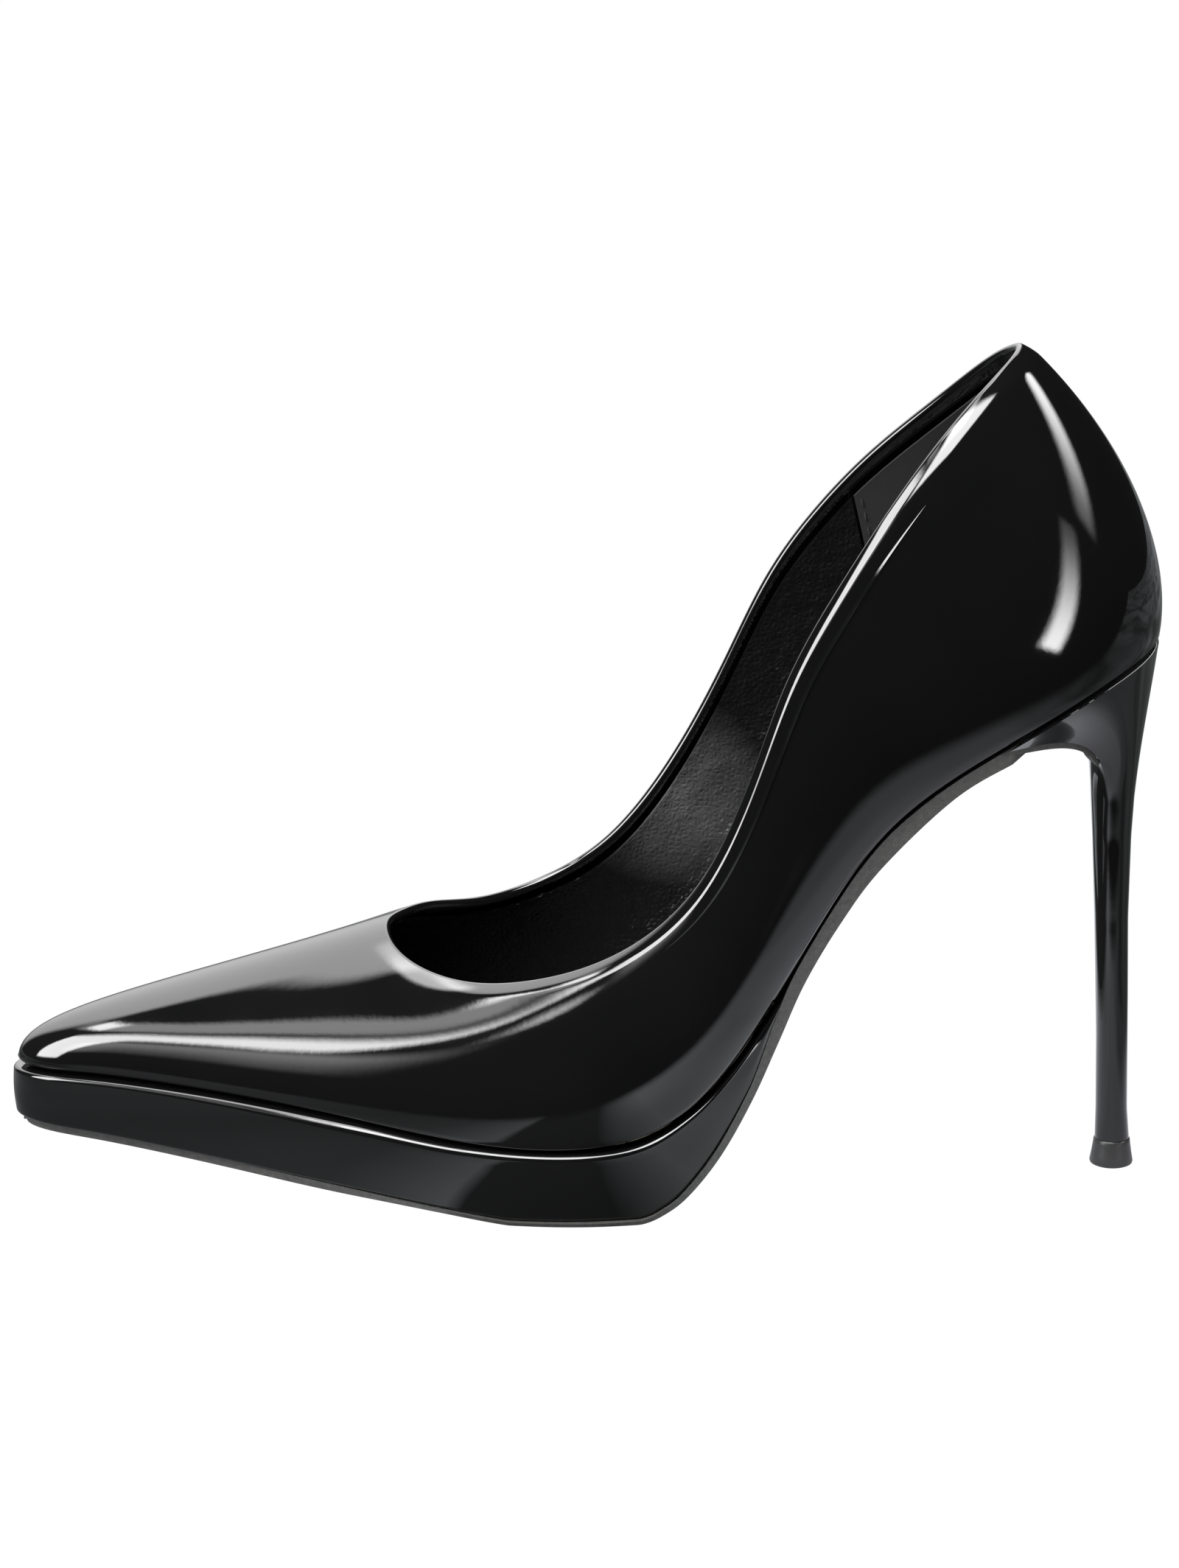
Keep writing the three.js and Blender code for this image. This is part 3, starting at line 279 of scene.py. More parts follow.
def margin_point(u, inset, height):
    """Feather point drawn in under the shoe by inset, at a height above the feather curve."""
    foot = outer(u, np.zeros_like(u))
    spine_x = np.clip(foot[..., 0], TOE_X + 24, BACK_X - 24)
    inward = np.stack([spine_x - foot[..., 0], -foot[..., 1], np.zeros_like(spine_x)], -1)
    length = np.linalg.norm(inward, axis=-1, keepdims=True)
    point = foot + unit(inward) * np.minimum(inset, 0.6 * length)
    point[..., 2] = above(height)(point[..., 0])
    return point


# ---- meshes ---------------------------------------------------------------------------------

SHARP_ANGLE = math.radians(50)


def add_piece(name, points, faces, material, sharp=SHARP_ANGLE):
    """Makes an object from points in millimetres, shaded smooth but for its sharp edges."""
    mesh = bpy.data.meshes.new(name)
    placed = (np.asarray(points) - np.array([TIP_X, 0, 0])) * MM
    mesh.from_pydata(placed.tolist(), [], faces)
    mesh.validate()
    mesh.polygons.foreach_set("use_smooth", [True] * len(mesh.polygons))
    mesh.set_sharp_from_angle(angle=sharp)
    mesh.materials.append(material)
    piece = bpy.data.objects.new(name, mesh)
    bpy.context.scene.collection.objects.link(piece)
    turn_outward(mesh)
    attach(piece, BODY)
    return piece


def turn_outward(mesh):
    """Turns every face round if the closed mesh came out inside out."""
    mesh.calc_loop_triangles()
    corners = np.array([t.vertices for t in mesh.loop_triangles])
    co = np.array([v.co for v in mesh.vertices])
    a, b, c = (co[corners[:, k]] for k in range(3))
    if np.einsum("ij,ij->i", a, np.cross(b, c)).sum() < 0:
        mesh.flip_normals()


def sheet(name, front, back, material, closed=False, sharp=SHARP_ANGLE):
    """A sheet with thickness. front and back are grids of points, station by row."""
    ring = np.concatenate([front, back[:, ::-1]], axis=1)
    stations, size = ring.shape[:2]
    rows = size // 2
    faces = []
    for s in range(stations if closed else stations - 1):
        here, there = s * size, ((s + 1) % stations) * size
        for k in range(size):
            nxt = (k + 1) % size
            faces.append((here + k, there + k, there + nxt, here + nxt))
    if not closed:
        last = (stations - 1) * size
        for k in range(rows - 1):
            far = size - 1 - k
            faces.append((k, k + 1, far - 1, far))
            faces.append((last + k + 1, last + k, last + far, last + far - 1))
    return add_piece(name, ring.reshape(-1, 3), faces, material, sharp)


def stations(start, end, per_rib=12):
    return np.linspace(start, end, max(2, int(round((end - start) * per_rib)) + 1))


def all_round(per_rib=12):
    return np.linspace(0, RIB_COUNT, RIB_COUNT * per_rib, endpoint=False)


def grid(u, v):
    return np.meshgrid(u, v, indexing="ij")


# ---- materials ------------------------------------------------------------------------------

class Graph:
    """Short calls for building a node tree."""

    def __init__(self, tree):
        self.tree = tree

    def add(self, kind, **settings):
        node = self.tree.nodes.new(kind)
        for key, value in settings.items():
            if hasattr(node, key):
                setattr(node, key, value)
            else:
                node.inputs[key.replace("_", " ")].default_value = value
        return node

    def link(self, source, target):
        self.tree.links.new(source, target)

    def feed(self, socket, value):
        """Gives a socket a plain number or the output of another node."""
        if isinstance(value, (int, float)):
            socket.default_value = value
        else:
            self.link(value, socket)

    def math(self, operation, *values):
        node = self.add("ShaderNodeMath", operation=operation)
        for socket, value in zip(node.inputs, values):
            self.feed(socket, value)
        return node.outputs[0]

    def ramp(self, source, low, high, start=0.0, end=1.0, smooth=False):
        """Goes from low to high as the source goes from start to end."""
        node = self.add("ShaderNodeMapRange")
        if smooth:
            node.interpolation_type = "SMOOTHSTEP"
        for key, value in (("From Min", start), ("From Max", end), ("To Min", low), ("To Max", high)):
            node.inputs[key].default_value = value
        self.link(source, node.inputs["Value"])
        return node.outputs["Result"]

    def blend(self, factor, first, second):
        """A colour between two, each given as three numbers or as a node's output."""
        node = self.add("ShaderNodeMix", data_type="RGBA")
        for socket, colour in zip([i for i in node.inputs if i.type == "RGBA"], (first, second)):
            if isinstance(colour, tuple):
                socket.default_value = (*colour, 1)
            else:
                self.link(colour, socket)
        self.link(factor, node.inputs[0])
        return next(o for o in node.outputs if o.type == "RGBA")


class Surface(Graph):
    """A material, with its textures placed in the object's own metres."""

    def __init__(self, name):
        self.material = bpy.data.materials.new(name)
        self.material.use_nodes = True
        super().__init__(self.material.node_tree)
        self.bsdf = self.tree.nodes["Principled BSDF"]
        self.position = self.add("ShaderNodeTexCoord").outputs["Object"]

    def set(self, **values):
        for key, value in values.items():
            self.bsdf.inputs[key.replace("_", " ")].default_value = value

    def noise(self, scale, detail=2.0, roughness=0.5):
        node = self.add("ShaderNodeTexNoise", Scale=scale, Detail=detail, Roughness=roughness)
        self.link(self.position, node.inputs["Vector"])
        return node.outputs["Fac"]

    def cells(self, scale, feature="F1"):
        node = self.add("ShaderNodeTexVoronoi", feature=feature)
        node.inputs["Scale"].default_value = scale
        self.link(self.position, node.inputs["Vector"])
        return node.outputs["Distance"]

    def near(self, centre_mm, radius_mm, after):
        """Fades to 0 at a distance from a place, broken up by another value; it masks the lining's patch
        of painted sheen.
        """
        apart = self.add("ShaderNodeVectorMath", operation="DISTANCE")
        apart.inputs[1].default_value = (np.array(centre_mm) - np.array([TIP_X, 0, 0])) * MM
        self.link(self.position, apart.inputs[0])
        fade = self.ramp(apart.outputs["Value"], 1.0, 0.0, 0.0, radius_mm * MM)
        return self.math("MULTIPLY", fade, self.ramp(after, 0.5, 1.3, 0.3, 0.7))

    def mix_colour(self, source, dark, light):
        self.link(self.blend(source, dark, light), self.bsdf.inputs["Base Color"])

    def bump(self, source, distance_mm, strength=1.0, target="Normal", after=None):
        node = self.add("ShaderNodeBump")
        node.inputs["Strength"].default_value = strength
        node.inputs["Distance"].default_value = distance_mm * MM
        self.link(source, node.inputs["Height"])
        if after is not None:
            self.link(after, node.inputs["Normal"])
        self.link(node.outputs["Normal"], self.bsdf.inputs[target])
        return node.outputs["Normal"]


def patent_leather(name, ripple_mm=0.05, peel_mm=0.004):
    """Black patent leather: a mirror-like coat over leather that is never quite flat."""
    n = Surface(name)
    n.mix_colour(n.noise(35), (0.0018, 0.0019, 0.0019), (0.0034, 0.0034, 0.0035))
    n.set(IOR=1.45, Specular_IOR_Level=0.1, Coat_Weight=1.0, Coat_IOR=1.5)
    n.link(n.ramp(n.noise(140, 4), 0.05, 0.1), n.bsdf.inputs["Roughness"])
    n.link(n.ramp(n.noise(60, 3), 0.008, 0.03), n.bsdf.inputs["Coat Roughness"])
    slow = n.bump(n.noise(42, 1.5), ripple_mm)
    n.bump(n.noise(700, 2), peel_mm, after=slow)
    slow_coat = n.bump(n.noise(42, 1.5), ripple_mm, target="Coat Normal")
    n.bump(n.noise(700, 2), peel_mm, target="Coat Normal", after=slow_coat)
    return n.material


def pebbled(name, cells, crease_mm, roughness, dark, light, painted_sheen=None):
    """Pebbled black leather: small cells with creases between them and a satin sheen."""
    n = Surface(name)
    shade = n.noise(90, 4)
    # when given, the base colour lightens near one place: a patch of painted sheen, not wear
    if painted_sheen is not None:
        shade = n.near(*painted_sheen, after=shade)
    n.mix_colour(shade, dark, light)
    n.link(n.ramp(n.noise(350, 4), *roughness), n.bsdf.inputs["Roughness"])
    n.set(Specular_IOR_Level=0.3)
    soft = n.bump(n.noise(cells * 0.3, 3), crease_mm * 2, 0.8)
    crease = n.bump(n.cells(cells, "DISTANCE_TO_EDGE"), crease_mm, 0.8, after=soft)
    n.bump(n.noise(cells * 2.6, 3), crease_mm * 0.2, 0.6, after=crease)
    return n.material


def suede(name):
    """Napped black leather: very rough, with a faint sheen at its edges."""
    n = Surface(name)
    n.mix_colour(n.noise(300, 6), (0.002, 0.002, 0.002), (0.006, 0.006, 0.006))
    n.set(Roughness=0.95, Sheen_Weight=0.02, Sheen_Roughness=0.5)
    n.bump(n.noise(2600, 5, 0.7), 0.08, 0.8)
    return n.material


def sole_leather(name):
    """Black sole edge: matt, with a sandy ground grain."""
    n = Surface(name)
    n.mix_colour(n.noise(900, 6, 0.7), (0.006, 0.006, 0.006), (0.07, 0.069, 0.065))
    n.link(n.ramp(n.noise(500, 5), 0.45, 0.75), n.bsdf.inputs["Roughness"])
    coarse = n.bump(n.noise(1100, 4, 0.7), 0.12, 0.7)
    n.bump(n.noise(3200, 3), 0.04, 0.6, after=coarse)
    return n.material


def plain(name, dark, light, roughness, grain=600.0, depth_mm=0.05, metallic=0.0):
    """A plain material: mottled colour, uneven gloss and a grain of its own."""
    n = Surface(name)
    n.mix_colour(n.noise(grain / 4, 4), dark, light)
    n.set(Metallic=metallic)
    n.link(n.ramp(n.noise(grain / 2, 4), roughness * 0.8, min(1, roughness * 1.2)),
           n.bsdf.inputs["Roughness"])
    n.bump(n.noise(grain, 4), depth_mm, 0.6)
    return n.material


PATENT = patent_leather("patent_leather")
PATENT_WRAP = patent_leather("patent_wrap", ripple_mm=0.02)
PAINTED_SHEEN_PLACE = (-92, 24, 71)  # middle of the patch of painted sheen on the lining, over the arch
# radius in mm of the patch of painted sheen
PAINTED_SHEEN_REACH = 22
LINING = pebbled("lining_leather", 900, 0.35, (0.24, 0.4), (0.003, 0.003, 0.003),
                 (0.08, 0.08, 0.082), painted_sheen=(PAINTED_SHEEN_PLACE, PAINTED_SHEEN_REACH))
SOCK = pebbled("grained_sock", 900, 0.3, (0.26, 0.42), (0.004, 0.004, 0.004),
               (0.009, 0.009, 0.0095))
SUEDE = suede("suede_grip")
SOLE = sole_leather("sole_edge")
TIP = plain("tip_rubber", (0.008, 0.008, 0.008), (0.016, 0.016, 0.016), 0.4)
BOARD = plain("fibre_board", (0.3, 0.22, 0.13), (0.45, 0.35, 0.23), 0.85, 1200)
FABRIC = plain("backer_fabric", (0.5, 0.47, 0.4), (0.66, 0.63, 0.55), 0.95, 2200, 0.1)
FOAM = plain("latex_foam", (0.62, 0.58, 0.48), (0.78, 0.74, 0.64), 0.95, 1800, 0.15)
PUFF = plain("thermoplastic_puff", (0.5, 0.48, 0.42), (0.6, 0.58, 0.52), 0.6, 900)
HEEL_PLASTIC = plain("heel_plastic", (0.03, 0.03, 0.032), (0.05, 0.05, 0.052), 0.5, 400)
STEEL = plain("spring_steel", (0.4, 0.41, 0.42), (0.6, 0.61, 0.62), 0.3, 500, 0.01, metallic=1.0)
THREAD = plain("stitch_thread", (0.006, 0.006, 0.006), (0.02, 0.02, 0.02), 0.7, 3000)


# ---- upper ------------------------------------------------------------------------------------

def rounded_foot(u, depth):
    """Rows from the lasting margin, round the feather edge, on to the wall at one depth."""
    radius = FEATHER_RADIUS - depth * 0.6
    rows = [margin_point(u, LASTING_MARGIN, depth)]
    foot = layer_point(u, np.zeros_like(u), depth)
    up, out = directions(u, np.zeros_like(u))
    for angle in np.linspace(math.radians(80), math.radians(12), 6):
        drawn_in = radius * (1 - math.cos(angle))
        raised = radius * (1 - math.sin(angle)) + depth
        rows.append(foot - out * drawn_in + up * (raised - radius * 0.02))
    return rows


WALL_ROWS = 0.5 - 0.5 * np.cos(np.linspace(0.16, 1, 54) * math.pi)


def wall(u, depth):
    return [layer_point(u, np.full_like(u, v), depth) for v in WALL_ROWS]


def build_upper():
    spans = {
        "upper_vamp_and_lateral_quarter": (SEAM, MEDIAL_SEAM - SEAM, "vamp_and_lateral_quarter"),
        "upper_medial_quarter": (MEDIAL_SEAM + SEAM, RIB_COUNT - SEAM, "medial_quarter"),
    }
    for name, (start, end, node) in spans.items():
        u = stations(start, end)
        front = np.stack(rounded_foot(u, 0.0) + wall(u, 0.0), axis=1)
        back = np.stack(rounded_foot(u, UPPER_THICKNESS) + wall(u, UPPER_THICKNESS), axis=1)
        piece = sheet(name, front, back, PATENT)
        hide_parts(node)


FOLD_SKIN = 0.45  # thickness of the folded patent
FOLD_STEPS = 6


def build_binding():
    """The patent folded over the topline: round the edge, then down inside."""
    u = all_round()
    one = np.ones_like(u)
    half = EDGE_THICKNESS / 2
    turns = np.linspace(0.0, math.pi, 13)

    def face(depth):
        radius = half - depth
        edge = [layer_point(u, one, half - radius * math.cos(a), radius * math.sin(a)) for a in turns]
        inside = [layer_point(u, one, EDGE_THICKNESS - depth + 0.02 * k, -FOLD_DEPTH * k / FOLD_STEPS)
                  for k in range(1, FOLD_STEPS + 1)]
        return np.stack(edge + inside, 1)

    piece = sheet("topline_fold", face(0.0), face(FOLD_SKIN), PATENT, True)
    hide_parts("topline_binding")


# ---- linings ----------------------------------------------------------------------------------

LINING_ROWS = np.linspace(0.1, 1, 34)


THIN_FROM = 0.72  # share of the rib where the layers start to close up


def lining_depth(u, v):
    """The lining closes on the leather towards the topline, where the edge is thin."""
    near_top = np.clip((v - THIN_FROM) / (1 - THIN_FROM), 0, 1)
    near_top = near_top * near_top * (3 - 2 * near_top)
    return LINING_DEPTH + (EDGE_THICKNESS - LINING_DEPTH) * near_top


def lining_grid(u, extra, drop):
    rib_length = np.linalg.norm(outer(u, np.ones_like(u)) - outer(u, np.full_like(u, 0.9)), axis=-1)
    top_v = 1 - 0.1 * drop / rib_length
    rows = []
    for k in LINING_ROWS:
        v = k * top_v
        point = layer_point(u, v, lining_depth(u, v) + extra)
        floor = above(LINING_FLOOR)(point[..., 0])
        point[..., 2] = np.maximum(point[..., 2], floor)
        rows.append(point)
    return np.stack(rows, 1)


LINING_DROP = FOLD_DEPTH - 0.6  # the linings end under the folded patent


def build_linings():
    spans = [
        ("lining_front_and_sides", (GRIP_SPAN, RIB_COUNT - GRIP_SPAN), LINING,
         "vamp_lining", "smooth_lining"),
        ("lining_heel_grip", (-GRIP_SPAN, GRIP_SPAN), SUEDE, "heel_grip", "suede_grip"),
    ]
    for name, (start, end), material, node, slot in spans:
        u = stations(start + 0.02, end - 0.02)
        front = lining_grid(u, 0.1, LINING_DROP)
        back = lining_grid(u, LINING_THICKNESS, LINING_DROP)
        piece = sheet(name, front, back, material)
        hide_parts(node)


def stitch_row(name, path, length=2.2, gap=0.9, radius=0.22):
    """A row of short thread stitches along a path of points."""
    steps = np.linalg.norm(np.diff(path, axis=0), axis=1)
    run = np.concatenate([[0], np.cumsum(steps)])
    points, faces = [], []
    rings, sides = 7, 8
    for start in np.arange(0.4, run[-1] - length, length + gap):
        along = [np.interp(start + length * f, run, path[:, k]) for f in (0, 1) for k in range(3)]
        a, b = np.array(along[:3]), np.array(along[3:])
        direction = unit(b - a)
        side = unit(np.cross(direction, [0.3, 0.2, 0.9]))
        other = np.cross(direction, side)
        base = len(points)
        for r in range(rings):
            f = (r + 0.5) / rings
            size = radius * math.sin(math.pi * f) ** 0.45
            for s in range(sides):
                angle = 2 * math.pi * s / sides
                offset = side * math.cos(angle) + other * math.sin(angle)
                points.append(a + (b - a) * f + offset * size)
        for r in range(rings - 1):
            for s in range(sides):
                n = (s + 1) % sides
                faces.append((base + r * sides + s, base + r * sides + n,
                              base + (r + 1) * sides + n, base + (r + 1) * sides + s))
        faces.append(tuple(base + s for s in reversed(range(sides))))
        faces.append(tuple(base + (rings - 1) * sides + s for s in range(sides)))
    return add_piece(name, points, faces, THREAD)


def build_grip_stitches():
    from_edge = 0.12  # ribs
    rows = (("lateral", GRIP_SPAN - from_edge), ("medial", RIB_COUNT - GRIP_SPAN + from_edge))
    for side, rib in rows:
        v = np.linspace(0.3, 0.9, 60)
        u = np.full_like(v, rib)
        path = layer_point(u, v, lining_depth(u, v) + LINING_THICKNESS + 0.05)
        piece = stitch_row(f"grip_stitches_{side}", path)


# ---- stiffeners -------------------------------------------------------------------------------

STIFFENER_FOOT = 0.14  # share of the rib where every stiffener begins
SKIVE_WIDTH = 0.18  # share of the stiffener over which its edges are thinned


def build_stiffeners():
    puff = (TOE_RIB - PUFF_SPAN, TOE_RIB + PUFF_SPAN)
    counter = (-COUNTER_SPAN, COUNTER_SPAN)
    lateral = (COUNTER_SPAN, TOE_RIB - PUFF_SPAN)
    medial = (TOE_RIB + PUFF_SPAN, RIB_COUNT - COUNTER_SPAN)
    spans = [
        ("stiffener_toe_puff", puff, 0.6, PUFF, "toe_puff", "stiffener"),
        ("stiffener_heel_counter", counter, 0.78, BOARD, "heel_counter", "fibre_board"),
        ("backer_lateral", lateral, 0.7, FABRIC, "lateral_interlining", "backer_fabric"),
        ("backer_medial", medial, 0.7, FABRIC, "medial_interlining", "backer_fabric"),
    ]
    low = STIFFENER_FOOT
    for name, (start, end), high, material, node, slot in spans:
        u = stations(start + 0.03, end - 0.03, 6)
        uu, vv = grid(u, np.linspace(low, high, 16))
        edge = np.minimum(vv - low, high - vv) / (high - low)
        skive = np.clip(edge / SKIVE_WIDTH, 0.25, 1)
        front = layer_point(uu, vv, STIFFENER_DEPTH)
        back = layer_point(uu, vv, STIFFENER_DEPTH + STIFFENER_THICKNESS * skive)
        for side in (front, back):
            side[..., 2] = np.maximum(side[..., 2], above(LINING_FLOOR)(side[..., 0]))
        piece = sheet(name, front, back, material)
        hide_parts(node)


# ---- pieces of the shoe bottom ------------------------------------------------------------------

def contact_widths(depth, height):
    """Where the inner wall at one depth meets a side-view height: half widths against x."""
    widths = {}
    for side, u in ((-1, np.linspace(0, TOE_RIB, 500)), (1, np.linspace(RIB_COUNT, TOE_RIB, 500))):
        uu, vv = grid(u, np.linspace(0.0, 0.5, 160))
        p = layer_point(uu, vv, lining_depth(uu, vv) + depth)
        over = p[..., 2] - height(p[..., 0])
        first = np.argmax(over > 0, axis=1)
        found = p[np.arange(len(u)), first]
        order = np.argsort(found[:, 0])
        widths[side] = (found[order, 0], np.abs(found[order, 1]))
    return widths


def outline_widths(inset):
    """Half widths of the feather outline against x, drawn in by an inset."""
    u = np.linspace(0, RIB_COUNT, 1600, endpoint=False)
    foot = outer(u, np.zeros_like(u))
    along = np.roll(foot, -1, 0) - np.roll(foot, 1, 0)
    moved = foot - plan_outward(along) * inset
    widths = {}
    for side in (-1, 1):
        keep = (foot[:, 1] * side >= 0) & (moved[:, 1] * side > 0)
        part = moved[keep]
        order = np.argsort(part[:, 0])
        widths[side] = (part[order, 0], np.abs(part[order, 1]))
    return widths


def width_at(widths, side, x):
    xs, ys = widths[side]
    return np.interp(x, xs, ys, left=0, right=0)


def slab(name, start, end, widths, bottom, top, material, steps=260, across=14, crown=0.0,
         dish=0.0, lower_widths=None, trim=None, lower_dish=0.0):
    """A piece of the shoe bottom. crown raises its middle and the dishes its edges, in mm."""
    x = start + (end - start) * (0.5 - 0.5 * np.cos(np.linspace(0, math.pi, steps)))
    s = np.linspace(-1, 1, across * 2 + 1)
    s = np.sin(s * math.pi / 2)
    lower_widths = lower_widths or widths
    least = 0.25

    def face(w, z, middle, edges):
        edges = edges(x)[:, None] if callable(edges) else edges
        left = np.maximum(least, width_at(w, -1, x))
        right = np.maximum(least, width_at(w, 1, x))
        if trim is not None:
            left, right = left * trim(x), right * trim(x)
            left, right = np.maximum(least, left), np.maximum(least, right)
        y = np.where(s[None, :] < 0, left[:, None] * s, right[:, None] * s)
        shape = middle * (1 - s ** 2) + edges * s ** 4
        zz = z(x)[:, None] + np.broadcast_to(shape, (len(x), len(s)))
        return np.stack([np.repeat(x[:, None], len(s), 1), y, zz], -1)

    return sheet(name, face(lower_widths, bottom, 0, lower_dish), face(widths, top, crown, dish),
                 material)


def build_bottom():
    sock_edge = contact_widths(LINING_THICKNESS + 0.25, above(SOCK_HEIGHT))
    sock = slab("sock_lining_sheet", TOE_X + 18, BACK_X - 4.5, sock_edge,
                above(SOCK_HEIGHT - SOCK_THICKNESS), above(SOCK_HEIGHT), SOCK, dish=0.5)
    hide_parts("sock_lining")
    # name, node, first and last x, inset, bottom and top above the feather curve, crown, steps
    pads = [
        ("forefoot_foam", "forefoot_cushion", (TOE_X + 28, -103), 9, (3.0, 5.2), 0.3, 120),
        ("heel_foam", "heel_pad", (-42, BACK_X - 12), 9.5, (4.3, 5.0), 0.2, 100),
        ("cork_filler", "bottom_filler", (TOE_X + 37, -101), LASTING_MARGIN + 2.4, (0.25, 1.0), 0.0, 100),
    ]
    for name, node, (start, end), inset, (low, high), crown, steps in pads:
        pad = slab(name, start, end, outline_widths(inset), above(low), above(high), FOAM,
                   crown=crown, steps=steps)
        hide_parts(node)


# ---- platform and outsole -----------------------------------------------------------------------

PLATFORM_END = -70
BREAST_EDGE_X = -26
BREAST_CENTRE_X = -14


def rib_at_x(x, side):
    u = np.linspace(0, TOE_RIB, 3000)
    numbers = u if side < 0 else RIB_COUNT - u
    xs = outer(numbers, np.zeros_like(numbers))[:, 0]
    return float(numbers[np.argmax(xs <= x)])


STAND_OUTS = [(-223, 1.0), (-155, 1.0), (-130, 0.3), (-70, 0.2)]  # x, past the feather edge
LEDGE_DROP = 0.5  # groove between the upper and the platform's top
LOWER_ROUND = 0.9
SHOULDER_ROUNDS = [(-223, 0.9), (-200, 1.1), (-160, 2.0), (-130, 1.6), (-70, 1.4)]  # x, radius
WALL_LEANS = [  # x, undercut
    (-223, 0.3), (-190, 0.5), (-155, 1.4), (-130, 1.4), (-100, 1.8), (-70, 0.8),
]
FULL_LEAN_HEIGHT = 12  # lower walls lean less
WALL_BOW = 0.25
LEDGE_REACHES = (0.6, 1.6, 3.0)  # rows of the ledge, inwards from the shoulder


def platform_wall(u, extra):
    """Upright face with a round at the sole and one at the shoulder, then a ledge."""
    foot = outer(u, np.zeros_like(u))
    x = foot[:, 0]
    outward = plan_outward(outer(u + 0.01, np.zeros_like(u)) - outer(u - 0.01, np.zeros_like(u)))
    bottom, top = lifted(sole_top, 0.1), above(-LEDGE_DROP)
    room = top(x) - bottom(x)
    shoulder = np.minimum(np.interp(x, *np.transpose(SHOULDER_ROUNDS)), 0.5 * room)
    lean = np.interp(x, *np.transpose(WALL_LEANS)) * np.minimum(1, room / FULL_LEAN_HEIGHT)
    small = np.minimum(LOWER_ROUND, 0.3 * room)
    stand_out = np.interp(x, *np.transpose(STAND_OUTS))
    rows = []

    def row(inset, height):
        point = foot - outward * (inset - stand_out)[:, None]
        low, high = bottom(point[:, 0]), top(point[:, 0])
        point[:, 2] = low + (high - low) * height / room
        rows.append(point)

    for a in np.linspace(0.0, math.pi / 2, 7):
        row(lean + small * (1 - math.sin(a)) + extra, small * (1 - math.cos(a)))
    for share in np.linspace(0.1, 0.9, 7):
        bow = WALL_BOW * math.sin(math.pi * share)
        row(lean * (1 - share) - bow + extra, small + share * (room - small - shoulder))
    for a in np.linspace(0.0, math.pi / 2, 12):
        row((shoulder - extra) * (1 - math.cos(a)) + extra,
            room - shoulder + (shoulder - extra) * math.sin(a))
    for reach in LEDGE_REACHES:
        row(shoulder + reach, room - extra)
    return np.stack(rows, 1)


def build_platform():
    u = stations(rib_at_x(PLATFORM_END, -1), rib_at_x(PLATFORM_END, 1), 14)
    outside, inside = platform_wall(u, 0.0), platform_wall(u, COVER_THICKNESS)
    wrap = sheet("platform_wrap", outside, inside, PATENT_WRAP)
    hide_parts("platform_cover")


SOLE_INSET = 0.7
SOLE_LOWER_INSET = 1.3
SOLE_TOE_X = TOE_X + SOLE_INSET
SOLE_END_X = BREAST_CENTRE_X - 1.2
TREAD_LIFT = (0.9, -118, 34)  # height, centre x, reach
WAIST_RISE = (-76, -64)  # x range where the sole thickens to meet the upper


def breast_trim(x):
    """The sole narrows to a tongue that fits the hollow of the heel breast."""
    f = (x - BREAST_EDGE_X - 1) / (BREAST_CENTRE_X - BREAST_EDGE_X)
    return np.where(f <= 0, 1.0, np.sqrt(np.clip(1 - f, 0, 1)))


def sole_top(x):
    """Top of the outsole: one thickness over its underside, then close to the upper."""
    x = np.asarray(x, float)
    f = np.clip((x - WAIST_RISE[0]) / (WAIST_RISE[1] - WAIST_RISE[0]), 0, 1)
    f = f * f * (3 - 2 * f)
    return lifted(sole_height, OUTSOLE_THICKNESS)(x) * (1 - f) + above(-0.15)(x) * f


def tread_edge_lift(x):
    """The tread is rounded across, so its edges are off the floor under the ball."""
    height, centre, reach = TREAD_LIFT
    return height * np.exp(-(((x - centre) / reach) ** 4))


def build_outsole():
    sole = slab("outsole_sheet", SOLE_TOE_X, SOLE_END_X, outline_widths(SOLE_INSET), sole_height,
                sole_top, SOLE, steps=420, trim=breast_trim,
                lower_widths=outline_widths(SOLE_LOWER_INSET), lower_dish=tread_edge_lift)
    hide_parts("outsole")


# ---- heel ------------------------------------------------------------------------------------------

TOP_PIECE_HEIGHT = 5.5
STEM = np.array([  # height, centre x, half length, half width
    [TOP_PIECE_HEIGHT, TIP_X, 3.5, 3.6], [12, -1.0, 3.2, 3.4], [28, -1.4, 3.2, 3.3], [53, -2.3, 3.4, 3.6],
    [70, -2.75, 3.9, 4.3], [80, -2.9, 4.45, 5.3], [90, -2.9, 5.2, 6.6],
])
STEM_TOP = 78
FLARE_HANDLE = 90
SEAT_CORNER_RIB = 3.45
CORNER_ANGLE = 0.62 * math.pi
CORNER_RETREAT = 0.175


def stem_ring(angle, z, depth):
    centre, length, width = (np.interp(z, STEM[:, 0], STEM[:, k]) for k in (1, 2, 3))
    return np.stack([centre + (length - depth) * np.cos(angle), -(width - depth) * np.sin(angle),
                     np.full_like(angle, z)], -1)


RIM_INSET = -0.1
RIM_HEIGHT = -0.4


